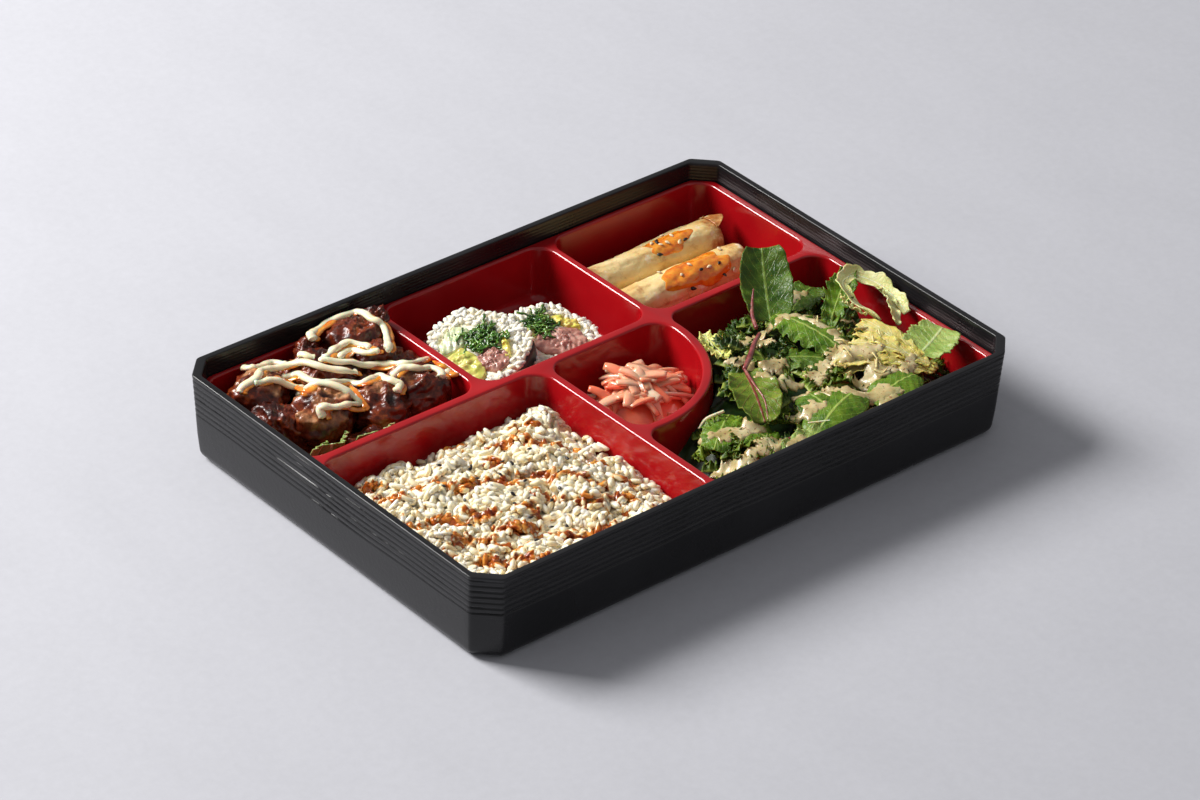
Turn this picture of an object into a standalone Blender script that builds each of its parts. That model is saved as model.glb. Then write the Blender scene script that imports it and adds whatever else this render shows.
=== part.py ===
"""Bento box meal: a black lacquer-look box, a red five-pocket tray and its food.

Row frame: origin at the centre of the box's underside, +X along the long side,
+Y to the back, +Z up. Lengths below are in millimetres and are scaled by MM.
"""
import math

import bpy
import numpy as np

MM = 0.001
GAP = 0.3  # clearance left between touching pieces

# ---- box -------------------------------------------------------------------
BOX_LENGTH = 360.0
BOX_WIDTH = 250.8
BOX_HEIGHT = 51.1
BOX_CHAMFER = 11.7
BOX_DRAFT = 2.5
BOX_FOOT_RADIUS = 6.0
BOX_FLOOR = 2.8
RIM_WIDTH = 3.8
RIB_BOTTOM = 26.0
RIB_COUNT = 7
RIB_DEPTH = 0.55
LEDGE_TOP = 38.0
LEDGE_HALF_X = 173.2
LEDGE_HALF_Y = 120.2

# ---- tray ------------------------------------------------------------------
TRAY_TOP = 40.5
TRAY_SKIN = 2.2
TRAY_WALL = 1.6
TRAY_HALF_X = 175.0
TRAY_HALF_Y = 120.9
TRAY_CHAMFER = 9.6
POCKET_FLOOR = 10.0
POCKET_DRAFT = 3.0
LIP_RADIUS = 1.3
BACK_TOP, BACK_BOTTOM = 118.0, 28.2
FRONT_TOP, FRONT_BOTTOM = 22.3, -118.0
LEFT_SIDE, RIGHT_SIDE = -170.5, 170.6
CORNER = 11.0
DIVIDER = 5.6
D_CENTRE = (-4.0, 11.0)
D_RADIUS = 62.0
CORNER_STEPS = 4

# ---- food ------------------------------------------------------------------
RICE_CROWN = 31.0
RICE_EDGE = 22.5
SALAD_CROWN = 33.0
SALAD_EDGE = 22.0
PICKLE_CENTRE = (23.0, -3.0)
PICKLE_RADIUS = 31.0
PICKLE_HEIGHT = 18.5
CHICKEN_BASE = 21.0
ROLL_RADIUS = 10.9
ROLL_WIDTH_RATIO = 1.08
LEAF_THICKNESS = 1.1

# name: centre, half sizes, turn about Z in degrees, seed
CHICKEN = {
    "chicken_back": ((-82.0, 103.5, 41.0), (17.0, 12.0, 9.0), 8, 1),
    "chicken_middle_right": ((-83.0, 82.0, 37.0), (13.0, 10.0, 10.5), -20, 2),
    "chicken_middle": ((-115.0, 89.0, 36.5), (18.0, 12.0, 12.0), -25, 3),
    "chicken_left_back": ((-150.0, 96.0, 35.0), (16.5, 13.0, 12.0), 35, 4),
    "chicken_left": ((-156.0, 71.0, 31.0), (11.0, 13.0, 12.0), 60, 5),
    "chicken_front_left": ((-134.5, 62.5, 35.0), (17.0, 15.0, 13.5), 20, 6),
    "chicken_front_middle": ((-105.0, 52.0, 32.0), (14.5, 17.0, 13.0), -30, 7),
    "chicken_front_right": ((-79.5, 54.0, 33.0), (14.5, 16.0, 13.5), 10, 8),
    "chicken_char": ((-64.5, 107.5, 46.5), (4.4, 5.2, 3.6), 30, 9),
    "chicken_back_small": ((-110.0, 108.0, 43.5), (6.5, 5.0, 5.0), 10, 10),
}
LETTUCE = ((-149.0, 41.5, 31.5), (10.0, 6.0, 5.0), 15, 11)

# name: base, tip, width, sag of the spine, cup across the blade, outline power
LEAVES = {
    "leaf_standing": ((101.0, -16.0, 41.0), (124.0, 21.5, 61.0), 27.0, 3.0, 3.0, 0.45),
    "leaf_strip": ((126.0, -36.0, 37.0), (168.0, -7.0, 46.0), 13.0, -2.0, 3.0, 0.7),
    "leaf_pale_curl": ((150.0, -58.0, 41.5), (166.0, -22.0, 44.5), 20.0, -3.0, 4.0, 0.6),
    "leaf_light_green": ((150.0, -86.0, 42.3), (172.0, -76.0, 44.6), 24.0, 0.5, 1.5, 0.3),
    "leaf_frisee": ((106.0, -70.0, 39.5), (140.0, -94.0, 40.8), 32.0, -3.5, 3.0, 0.5),
    "leaf_round": ((98.0, -104.0, 37.5), (124.0, -100.0, 38.8), 17.0, -1.5, 2.0, 0.5),
    "leaf_folded": ((52.0, -106.0, 39.0), (90.0, -94.0, 39.5), 19.0, -3.0, 2.0, 0.5),
    "leaf_red_stem": ((56.0, -48.0, 43.5), (34.0, -90.0, 41.5), 30.0, -2.5, 3.0, 0.5),
    "leaf_middle": ((108.0, -20.0, 39.5), (104.0, -58.0, 40.0), 24.0, -2.5, 3.0, 0.5),
    "leaf_back": ((128.0, -6.0, 33.5), (150.0, 4.0, 31.5), 24.0, -2.0, 2.0, 0.5),
    "leaf_yellow": ((68.5, -2.0, 37.0), (63.0, -27.0, 38.5), 11.0, 1.0, 2.0, 0.5),
}

MATERIALS = {
    "box_black": ((0.018, 0.018, 0.020), 0.32),
    "tray_red": ((0.46, 0.008, 0.012), 0.22),
    "rice_white": ((0.80, 0.76, 0.66), 0.55),
    "nori": ((0.018, 0.020, 0.014), 0.50),
    "maki_rice": ((0.82, 0.82, 0.78), 0.55),
    "avocado": ((0.62, 0.66, 0.24), 0.45),
    "seaweed": ((0.05, 0.14, 0.03), 0.30),
    "fish": ((0.58, 0.32, 0.26), 0.40),
    "egg": ((0.80, 0.70, 0.30), 0.50),
    "chicken": ((0.20, 0.045, 0.018), 0.25),
    "wrapper": ((0.72, 0.56, 0.34), 0.45),
    "pickle": ((0.80, 0.30, 0.16), 0.35),
    "salad_green": ((0.07, 0.13, 0.025), 0.45),
    "leaf_dark": ((0.06, 0.14, 0.02), 0.40),
    "leaf_light": ((0.36, 0.50, 0.16), 0.40),
    "leaf_pale": ((0.72, 0.70, 0.42), 0.45),
}


def material(name):
    """The Principled material of this name, made once."""
    found = bpy.data.materials.get(name)
    if found:
        return found
    colour, roughness = MATERIALS[name]
    made = bpy.data.materials.new(name)
    made.use_nodes = True
    shader = made.node_tree.nodes["Principled BSDF"]
    shader.inputs["Base Color"].default_value = (*colour, 1.0)
    shader.inputs["Roughness"].default_value = roughness
    shader.inputs["Metallic"].default_value = 0.0
    made.diffuse_color = (*colour, 1.0)
    return made


def solid(name, points, faces, slot, smooth=True):
    """A mesh object from points in millimetres."""
    mesh = bpy.data.meshes.new(name)
    scaled = [tuple(float(value) * MM for value in point) for point in points]
    mesh.from_pydata(scaled, [], [list(map(int, face)) for face in faces])
    mesh.validate()
    made = bpy.data.objects.new(name, mesh)
    bpy.context.scene.collection.objects.link(made)
    if slot:
        mesh.materials.append(material(slot))
    else:
        made.hide_render = True
        made.display_type = "WIRE"
    for polygon in mesh.polygons:
        polygon.use_smooth = smooth
    return made


def boolean(target, cutter, operation):
    """A live exact Boolean of target with cutter."""
    modifier = target.modifiers.new(operation.title() + "_" + cutter.name, "BOOLEAN")
    modifier.operation = operation
    modifier.solver = "EXACT"
    modifier.object = cutter


def stacked(name, rings, slot, smooth=True):
    """A closed solid through a list of rings that run anticlockwise from the bottom up."""
    count = len(rings[0])
    points = np.vstack(rings)
    faces = [list(range(count))[::-1]]
    for level in range(len(rings) - 1):
        low, high = level * count, (level + 1) * count
        for here in range(count):
            after = (here + 1) % count
            faces.append([low + here, low + after, high + after, high + here])
    last = (len(rings) - 1) * count
    faces.append([last + here for here in range(count)])
    return solid(name, points, faces, slot, smooth)


def at_height(outline, height):
    """The flat outline lifted to this height."""
    return np.column_stack([outline, np.full(len(outline), height)])


def arcs_outline(arcs):
    """Points along arcs (centre x, centre y, radius, first angle, last angle, steps)."""
    parts = []
    for x, y, radius, first, last, steps in arcs:
        angle = np.radians(np.linspace(first, last, steps + 1))
        parts.append(np.column_stack([x + radius * np.cos(angle), y + radius * np.sin(angle)]))
    points = np.vstack(parts)
    apart = np.linalg.norm(points - np.roll(points, 1, axis=0), axis=1) > 1e-4
    return points[apart]


def rounded_box(left, right, bottom, top, radii, steps=None):
    """A rectangle with radii for the right-top, left-top, left-bottom, right-bottom corners."""
    steps = steps or [CORNER_STEPS] * 4
    a, b, c, d = radii
    return arcs_outline([
        (right - a, top - a, a, 0, 90, steps[0]),
        (left + b, top - b, b, 90, 180, steps[1]),
        (left + c, bottom + c, c, 180, 270, steps[2]),
        (right - d, bottom + d, d, 270, 360, steps[3]),
    ])


def inset(outline, distance):
    """The anticlockwise outline moved inwards by distance, with mitred corners."""
    before = outline - np.roll(outline, 1, axis=0)
    after = np.roll(outline, -1, axis=0) - outline
    before /= np.linalg.norm(before, axis=1, keepdims=True)
    after /= np.linalg.norm(after, axis=1, keepdims=True)
    normal = np.column_stack([-before[:, 1] - after[:, 1], before[:, 0] + after[:, 0]])
    normal /= np.linalg.norm(normal, axis=1, keepdims=True)
    side = np.column_stack([-before[:, 1], before[:, 0]])
    stretch = np.sum(normal * side, axis=1, keepdims=True)
    return outline + normal * distance / stretch


def chamfered(half_x, half_y, chamfer, soft=1.2):
    """A rectangle with chamfered corners whose eight edges are softened."""
    points = []
    for sx, sy in ((1, 1), (-1, 1), (-1, -1), (1, -1)):
        first = np.array([sx * half_x, sy * (half_y - chamfer)])
        second = np.array([sx * (half_x - chamfer), sy * half_y])
        slope = (second - first) / np.linalg.norm(second - first)
        trio = [first - [0, sy * soft], first + slope * soft]
        pair = [second - slope * soft, second - [sx * soft, 0]]
        points += trio + pair if sx * sy > 0 else (trio + pair)[::-1]
    return np.array(points)


def salad_outline():
    """The pocket that wraps round the D-shaped one, with fillets where it meets its arc."""
    x, y = D_CENTRE
    radius = D_RADIUS + DIVIDER
    top_fillet, low_fillet = 8.0, 9.0
    low = FRONT_TOP - top_fillet - y
    reach = math.sqrt((radius + top_fillet) ** 2 - low**2)
    top_angle = math.degrees(math.atan2(low, reach))
    left = -18.6 + low_fillet - x
    drop = -math.sqrt((radius + low_fillet) ** 2 - left**2)
    low_angle = math.degrees(math.atan2(drop, left))
    return arcs_outline([
        (RIGHT_SIDE - CORNER, FRONT_TOP - CORNER, CORNER, 0, 90, CORNER_STEPS),
        (x + reach, y + low, top_fillet, 90, 180 + top_angle, CORNER_STEPS),
        (x, y, radius, top_angle - 4, low_angle + 4, 8),
        (x + left, y + drop, low_fillet, 180 + low_angle, 180, CORNER_STEPS),
        (-18.6 + CORNER, FRONT_BOTTOM + CORNER, CORNER, 180, 270, CORNER_STEPS),
        (RIGHT_SIDE - CORNER, FRONT_BOTTOM + CORNER, CORNER, 270, 360, CORNER_STEPS),
    ])


def pockets():
    """Pocket name to its outline at the tray's top."""
    same = [CORNER] * 4
    return {
        "chicken": rounded_box(LEFT_SIDE, -60.0, BACK_BOTTOM, BACK_TOP, same),
        "maki": rounded_box(-54.4, 56.6, BACK_BOTTOM, BACK_TOP, same),
        "rolls": rounded_box(61.3, RIGHT_SIDE, BACK_BOTTOM, BACK_TOP, same),
        "rice": rounded_box(LEFT_SIDE, -24.0, FRONT_BOTTOM, FRONT_TOP, [12.5] * 4),
        "pickle": rounded_box(
            -18.6, D_CENTRE[0] + D_RADIUS, D_CENTRE[1] - D_RADIUS, FRONT_TOP,
            [FRONT_TOP - D_CENTRE[1], 10.0, 10.0, D_RADIUS], [4, 4, 4, 10],
        ),
        "salad": salad_outline(),
    }


def cavity(name, outline, clearance, lip):
    """The space in a pocket as a hidden solid; clearance shrinks it for the food."""
    floor = POCKET_FLOOR + clearance
    levels = [(floor, POCKET_DRAFT + 3.4), (floor + 1.4, POCKET_DRAFT + 0.9)]
    levels += [(floor + 4.4, POCKET_DRAFT - 0.4)]
    if lip:
        levels += [(TRAY_TOP - LIP_RADIUS, 0.0), (TRAY_TOP - 0.4, -0.38)]
        levels += [(TRAY_TOP, -LIP_RADIUS), (TRAY_TOP + 3.0, -LIP_RADIUS - 0.01)]
    else:
        levels += [(TRAY_TOP - 1.5, 0.0), (TRAY_TOP + GAP, 0.0), (TRAY_TOP + GAP + 0.05, -5.0)]
        levels += [(TRAY_TOP + 30.0, -5.01)]
    rings = [at_height(inset(outline, move + clearance), height) for height, move in levels]
    return stacked(name, rings, None)


def make_box():
    """The outer box: one turned-up skin with grooves round its upper half and a ledge inside."""
    half_x, half_y = BOX_LENGTH / 2, BOX_WIDTH / 2

    def ring(height, depth, chamfer=BOX_CHAMFER):
        return at_height(chamfered(half_x - depth, half_y - depth, chamfer), height)

    def inside(height, depth):
        x, y = LEDGE_HALF_X - depth, LEDGE_HALF_Y - depth
        return at_height(chamfered(x, y, BOX_CHAMFER - 4.4), height)

    def lean(height):
        return BOX_DRAFT * (1 - height / BOX_HEIGHT)

    radius = BOX_FOOT_RADIUS
    rings = []
    for step in range(4):
        angle = math.radians(90 * step / 3)
        height = radius * (1 - math.cos(angle))
        rings.append(ring(height, lean(0) + radius * (1 - math.sin(angle))))
    pitch = (BOX_HEIGHT - 1.6 - RIB_BOTTOM) / RIB_COUNT
    for rib in range(RIB_COUNT):
        low = RIB_BOTTOM + rib * pitch
        rings.append(ring(low, lean(low)))
        rings.append(ring(low + 0.45, lean(low) + RIB_DEPTH))
        rings.append(ring(low + 1.1, lean(low)))
    rings.append(ring(BOX_HEIGHT - 0.5, 0.0))
    rings.append(ring(BOX_HEIGHT, 0.5))
    inner = BOX_CHAMFER - 1.6
    rings.append(ring(BOX_HEIGHT, RIM_WIDTH - 0.5, inner))
    rings.append(ring(BOX_HEIGHT - 0.5, RIM_WIDTH, inner))
    rings.append(ring(LEDGE_TOP, RIM_WIDTH + 0.3, inner))
    rings += [inside(LEDGE_TOP, 0.0), inside(BOX_FLOOR + 3.0, 0.3), inside(BOX_FLOOR, 3.0)]
    split_box(stacked("box_whole", rings, None))


def prism(name, outline, low, high, slot):
    """A straight-sided block over the outline, turned to run anticlockwise."""
    outline = np.asarray(outline, float)
    after = np.roll(outline, -1, axis=0)
    if (outline[:, 0] * after[:, 1] - after[:, 0] * outline[:, 1]).sum() < 0:
        outline = outline[::-1]
    return stacked(name, [at_height(outline, low), at_height(outline, high)], slot, smooth=False)


def split_box(box):
    """The one moulding as a floor and four walls, mitred at the middle of each chamfer."""
    bottom = chamfered(LEDGE_HALF_X - 3.0, LEDGE_HALF_Y - 3.0, BOX_CHAMFER - 4.4)
    floor = prism("outer_box_floor", bottom, -5.0, BOX_HEIGHT + 5.0, "box_black")
    boolean(floor, box, "INTERSECT")
    space = prism("box_inside", bottom, -9.0, BOX_HEIGHT + 9.0, None)
    x, y = BOX_LENGTH / 2 - BOX_CHAMFER / 2, BOX_WIDTH / 2 - BOX_CHAMFER / 2
    out, deep = 40.0, 60.0
    corners = {
        "front": [(-x - out, -y - out), (x + out, -y - out), (x - deep, -y + deep), (-x + deep, -y + deep)],
        "right": [(x + out, -y - out), (x + out, y + out), (x - deep, y - deep), (x - deep, -y + deep)],
    }
    corners["back"] = [(-a, -b) for a, b in corners["front"]]
    corners["left"] = [(-a, -b) for a, b in corners["right"]]
    for name, outline in corners.items():
        wall = prism("outer_box_" + name, outline, -4.0, BOX_HEIGHT + 4.0, "box_black")
        boolean(wall, box, "INTERSECT")
        boolean(wall, space, "DIFFERENCE")


def make_tray(outlines):
    """A plate and six drafted cups joined, then hollowed by the pocket spaces."""
    flange = chamfered(TRAY_HALF_X, TRAY_HALF_Y, TRAY_CHAMFER, 2.0)
    low = TRAY_TOP - TRAY_SKIN
    rings = [at_height(flange, low), at_height(flange, TRAY_TOP - 0.6)]
    rings.append(at_height(inset(flange, 0.6), TRAY_TOP))
    tray = stacked("tray_whole", rings, None)
    for name, outline in outlines.items():
        levels = [(POCKET_FLOOR - TRAY_WALL, 5.6), (POCKET_FLOOR + 0.6, 2.6)]
        levels += [(POCKET_FLOOR + 4.2, 1.1), (TRAY_TOP - 1.0, -TRAY_WALL)]
        cup = stacked(
            "cup_" + name, [at_height(inset(outline, m), z) for z, m in levels], None
        )
        boolean(tray, cup, "UNION")
    for name, outline in outlines.items():
        boolean(tray, cavity("hollow_" + name, outline, 0.0, True), "DIFFERENCE")
    split_tray(tray, outlines["pickle"])


def split_tray(tray, pickle):
    """The one moulding cut along its dividers, the larger pockets cut again across their middles."""
    left, right, middle, edge = -57.2, 58.95, 25.25, 200.0
    across, half, halfway = -21.3, DIVIDER / 2, 115.95
    plan = {
        "tray_chicken": (-edge, left, middle, edge), "tray_maki": (left, right, middle, edge),
        "tray_rolls_left": (right, halfway, middle, edge),
        "tray_rolls_right": (halfway, edge, middle, edge),
        "tray_rice_back_left": (-edge, -97.0, -48.0, middle),
        "tray_rice_back_right": (-97.0, across, -48.0, middle),
        "tray_rice_front_left": (-edge, -97.0, -edge, -48.0),
        "tray_rice_front_right": (-97.0, across, -edge, -48.0),
        "tray_salad_left": (across, 40.0, -edge, middle),
        "tray_salad_middle": (40.0, 105.0, -edge, middle),
        "tray_salad_back_right": (105.0, edge, -48.0, middle),
        "tray_salad_front_right": (105.0, edge, -edge, -48.0),
    }
    grown = inset(pickle, -half)
    cut_off = (grown[:, 0] < -8.0) & (grown[:, 1] > 12.0)
    first = int(np.flatnonzero(cut_off)[0])
    grown = np.insert(grown[~cut_off], first, [[across, middle]], axis=0)
    grown[:, 0] = np.maximum(grown[:, 0], across)
    grown[:, 1] = np.where(grown[:, 1] > middle - 0.3, middle, grown[:, 1])
    reach = grown.copy()
    reach[:, 0] = np.where(grown[:, 0] <= across + 1e-6, across - 9.0, grown[:, 0])
    reach[:, 1] = np.where(grown[:, 1] >= middle - 1e-6, middle + 9.0, grown[:, 1])
    side = prism("pickle_side", reach, POCKET_FLOOR - 12.0, TRAY_TOP + 12.0, None)
    low, high = POCKET_FLOOR - 9.0, TRAY_TOP + 9.0
    boolean(prism("tray_pickle", grown, low, high, "tray_red"), tray, "INTERSECT")
    for name, (x0, x1, y0, y1) in plan.items():
        around = [(x0, y0), (x1, y0), (x1, y1), (x0, y1)]
        tile = prism(name, around, low, high, "tray_red")
        boolean(tile, tray, "INTERSECT")
        if name in ("tray_salad_left", "tray_salad_middle"):
            boolean(tile, side, "DIFFERENCE")


def height_block(name, box, counts, height_of, slot):
    """A block whose top is height_of(x, y) on a grid, reaching below the pocket's floor."""
    left, right, bottom, top = box
    columns, lines = counts
    x, y = np.meshgrid(np.linspace(left, right, columns), np.linspace(bottom, top, lines))
    x, y = x.ravel(), y.ravel()
    upper = np.column_stack([x, y, height_of(x, y)])
    lower = np.column_stack([x, y, np.full(len(x), POCKET_FLOOR - 25.0)])
    total = len(x)
    faces = []
    for line in range(lines - 1):
        for column in range(columns - 1):
            a = line * columns + column
            quad = [a, a + 1, a + columns + 1, a + columns]
            faces.append(quad)
            faces.append([index + total for index in quad[::-1]])
    rim = list(range(columns))
    rim += [line * columns + columns - 1 for line in range(1, lines)]
    rim += [(lines - 1) * columns + column for column in range(columns - 2, -1, -1)]
    rim += [line * columns for line in range(lines - 2, 0, -1)]
    for here, after in zip(rim, rim[1:] + rim[:1]):
        faces.append([here, here + total, after + total, after])
    return solid(name, np.vstack([upper, lower]), faces, slot)


def waves(x, y, seed, size, length):
    """Smooth lumps of about this size and wavelength."""
    generator = np.random.default_rng(seed)
    total = np.zeros_like(x)
    for _ in range(5):
        angle, phase = generator.uniform(0, 2 * math.pi, 2)
        step = length * generator.uniform(0.7, 1.5)
        along = x * math.cos(angle) + y * math.sin(angle)
        total += np.sin(2 * math.pi * along / step + phase)
    return total * size / 2.2


def rice_height(x, y):
    """Level over most of the pocket, falling to the back and right walls."""
    back = np.clip((FRONT_TOP - y) / 34.0, 0, 1)
    right = np.clip((-24.0 - x) / 30.0, 0, 1)
    fall = np.minimum(back, right)
    fall = fall * fall * (3 - 2 * fall)
    return RICE_EDGE + (RICE_CROWN - RICE_EDGE) * fall + waves(x, y, 3, 0.9, 24.0)


def salad_height(x, y):
    """A loose mound that falls to the back and to the right."""
    back = np.clip((FRONT_TOP + 4 - y) / 42.0, 0, 1)
    right = np.clip((RIGHT_SIDE - 2 - x) / 42.0, 0, 1)
    fall = np.minimum(back, right)
    fall = fall * fall * (3 - 2 * fall)
    return SALAD_EDGE + (SALAD_CROWN - SALAD_EDGE) * fall + waves(x, y, 8, 1.0, 30.0)


def pickle_height(x, y):
    """A domed tangle on the floor of the D-shaped pocket."""
    far = np.hypot(x - PICKLE_CENTRE[0], y - PICKLE_CENTRE[1]) / PICKLE_RADIUS
    dome = PICKLE_HEIGHT * np.clip(1.12 - far**2.2, -0.6, 1)
    return POCKET_FLOOR + dome + waves(x, y, 5, 1.1, 15.0)


def chicken_height(x, y):
    """The shaded lower part of the chicken heap."""
    return CHICKEN_BASE + waves(x, y, 6, 1.2, 26.0)


def make_heaps(outlines):
    """Each heap is a block with an uneven top, kept inside its own pocket."""
    plan = {
        "rice": ("rice", (-172, -22, -120, 24), (13, 12), rice_height, "rice_white"),
        "salad": ("salad", (-20, 172, -120, 24), (16, 11), salad_height, "salad_green"),
        "pickles": ("pickle", (-20, 60, -53, 24), (11, 10), pickle_height, "pickle"),
        "chicken_base": ("chicken", (-172, -58, 26, 120), (8, 7), chicken_height, "chicken"),
    }
    made = {}
    for name, (pocket, box, counts, height_of, slot) in plan.items():
        made[name] = height_block(name, box, counts, height_of, slot)
        room = cavity("room_" + pocket, outlines[pocket], GAP, False)
        boolean(made[name], room, "INTERSECT")
    return made


def lump_points(centre, half, turn, seed, grow=0.0):
    """A rounded uneven lump on a latitude grid, with one point at each pole."""
    around, levels = 11, 6
    generator = np.random.default_rng(seed)
    bumps = [(*generator.normal(size=3), generator.uniform(0, 6.28)) for _ in range(5)]
    angle = np.arange(around) * 2 * math.pi / around
    rows = []
    for level in range(1, levels):
        tilt = math.pi * level / levels - math.pi / 2
        ring = np.column_stack([
            math.cos(tilt) * np.cos(angle), math.cos(tilt) * np.sin(angle),
            np.full(around, math.sin(tilt)),
        ])
        rows.append(ring)
    unit = np.vstack([[[0, 0, -1]], *rows, [[0, 0, 1]]])
    power = np.sign(unit) * np.abs(unit) ** 0.85
    swell = 1 + 0.045 * sum(np.sin(2.2 * unit @ np.array(b[:3]) + b[3]) for b in bumps)
    shaped = power * swell[:, None] * (np.array(half) + grow)
    spin = math.radians(turn)
    x = shaped[:, 0] * math.cos(spin) - shaped[:, 1] * math.sin(spin)
    y = shaped[:, 0] * math.sin(spin) + shaped[:, 1] * math.cos(spin)
    points = np.column_stack([x, y, shaped[:, 2]]) + np.array(centre)
    faces = []
    for here in range(around):
        after = (here + 1) % around
        faces.append([0, 1 + after, 1 + here])
        for level in range(levels - 2):
            low, high = 1 + level * around, 1 + (level + 1) * around
            faces.append([low + here, low + after, high + after, high + here])
        last = 1 + (levels - 2) * around
        faces.append([last + here, last + after, len(points) - 1])
    return points, faces


def make_chicken(base, outlines):
    """Lumps in order; each later one and the base give way to the earlier ones."""
    room = cavity("room_chicken_pieces", outlines["chicken"], GAP, False)
    pieces = dict(CHICKEN)
    pieces["lettuce"] = LETTUCE
    earlier = []
    for name, values in pieces.items():
        slot = "leaf_light" if name == "lettuce" else "chicken"
        made = solid(name, *lump_points(*values), slot)
        for other, centre, half in earlier:
            space = np.abs(np.array(values[0]) - centre) - np.array(values[1]) - half
            if space.max() < 2.0:
                boolean(made, other, "DIFFERENCE")
        boolean(made, room, "INTERSECT")
        grown = solid("grown_" + name, *lump_points(*values, grow=GAP + 0.15), None)
        boolean(base, grown, "DIFFERENCE")
        earlier.append((grown, np.array(values[0]), np.array(values[1])))


def roll_rings(start, end, seed):
    """Rings along a softly flattened roll whose ends are tucked in."""
    around, stations = 12, 9
    axis = np.array(end) - np.array(start)
    angle = np.arange(around) * 2 * math.pi / around
    side = np.cross([0, 0, 1], axis / np.linalg.norm(axis))
    rings = []
    for step in range(stations):
        along = step / (stations - 1)
        tuck = 1 - abs(2 * along - 1) ** 9 * 0.45
        wobble = 1 + 0.03 * math.sin(9 * along + seed)
        radius = ROLL_RADIUS * tuck * wobble
        centre = np.array(start) + axis * along
        rings.append(
            centre + side * ROLL_WIDTH_RATIO * radius * np.cos(angle)[:, None]
            + np.array([0, 0, 1]) * radius * np.sin(angle)[:, None] * 0.97
        )
    return rings


def make_rolls():
    """Two spring rolls on the floor of their pocket."""
    height = POCKET_FLOOR + GAP + ROLL_RADIUS
    stacked("spring_roll_back", roll_rings((66, 90.5, height), (156.5, 92, height), 1), "wrapper")
    stacked("spring_roll_front", roll_rings((65.5, 63, height), (152, 64, height), 3), "wrapper")


def slice_frame(centre, normal):
    """The face centre and two directions across the cut face of a slice."""
    normal = np.array(normal, float)
    normal /= np.linalg.norm(normal)
    across = np.cross([0, 1, 0], normal)
    across /= np.linalg.norm(across)
    return np.array(centre, float), across, np.cross(normal, across), normal


def layer(name, frame, outline, slot, bottom, hole=None):
    """A layer that runs through the slice, from its cut face to the bottom it is given."""
    centre, across, up, normal = frame
    rings = []
    for flat, depth in ((outline, 1), (outline, 0), (hole, 0), (hole, 1)):
        if flat is None:
            continue
        face = centre + across * flat[:, :1] + up * flat[:, 1:]
        rings.append(bottom(face) if depth else face)
    if hole is None:
        return stacked(name, rings, slot)
    count = len(outline)
    faces = []
    for level in range(4):
        low, high = level * count, (level + 1) % 4 * count
        for here in range(count):
            after = (here + 1) % count
            faces.append([low + here, low + after, high + after, high + here])
    return solid(name, np.vstack(rings), faces, slot, smooth=False)


def oval(half_x, half_y, around=20, wobble=0.0, seed=0, centre=(0, 0)):
    """An uneven oval in the face plane."""
    angle = np.arange(around) * 2 * math.pi / around
    reach = 1 + wobble * np.sin(3 * angle + seed) + wobble * np.sin(5 * angle + 2 * seed)
    return np.column_stack([
        centre[0] + half_x * reach * np.cos(angle), centre[1] + half_y * reach * np.sin(angle)
    ])


def bar(half_x, half_y, centre, turn):
    """A rounded bar's outline in the face plane."""
    flat = rounded_box(-half_x, half_x, -half_y, half_y, [min(half_x, half_y) * 0.6] * 4, [2] * 4)
    spin = math.radians(turn)
    turned = flat @ np.array([
        [math.cos(spin), math.sin(spin)], [-math.sin(spin), math.cos(spin)]
    ])
    return turned + np.array(centre)


def make_slice(prefix, frame, half, hollow, fillings, bottom):
    """Nori, rice and fillings, each one a layer right through."""
    half_x, half_y = half
    outer = oval(half_x, half_y, 24)
    names = [prefix + "_nori", prefix + "_rice"]
    made = [layer(names[0], frame, outer, "nori", bottom, oval(half_x - 0.7, half_y - 0.7, 24))]
    hollow = oval(*hollow[:2], 24, centre=hollow[2:])
    rice = oval(half_x - 1.0, half_y - 1.0, 24)
    made.append(layer(names[1], frame, rice, "maki_rice", bottom, hollow))
    for name, (outline, slot) in fillings.items():
        made.append(layer(prefix + "_" + name, frame, outline, slot, bottom))
    return made


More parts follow.
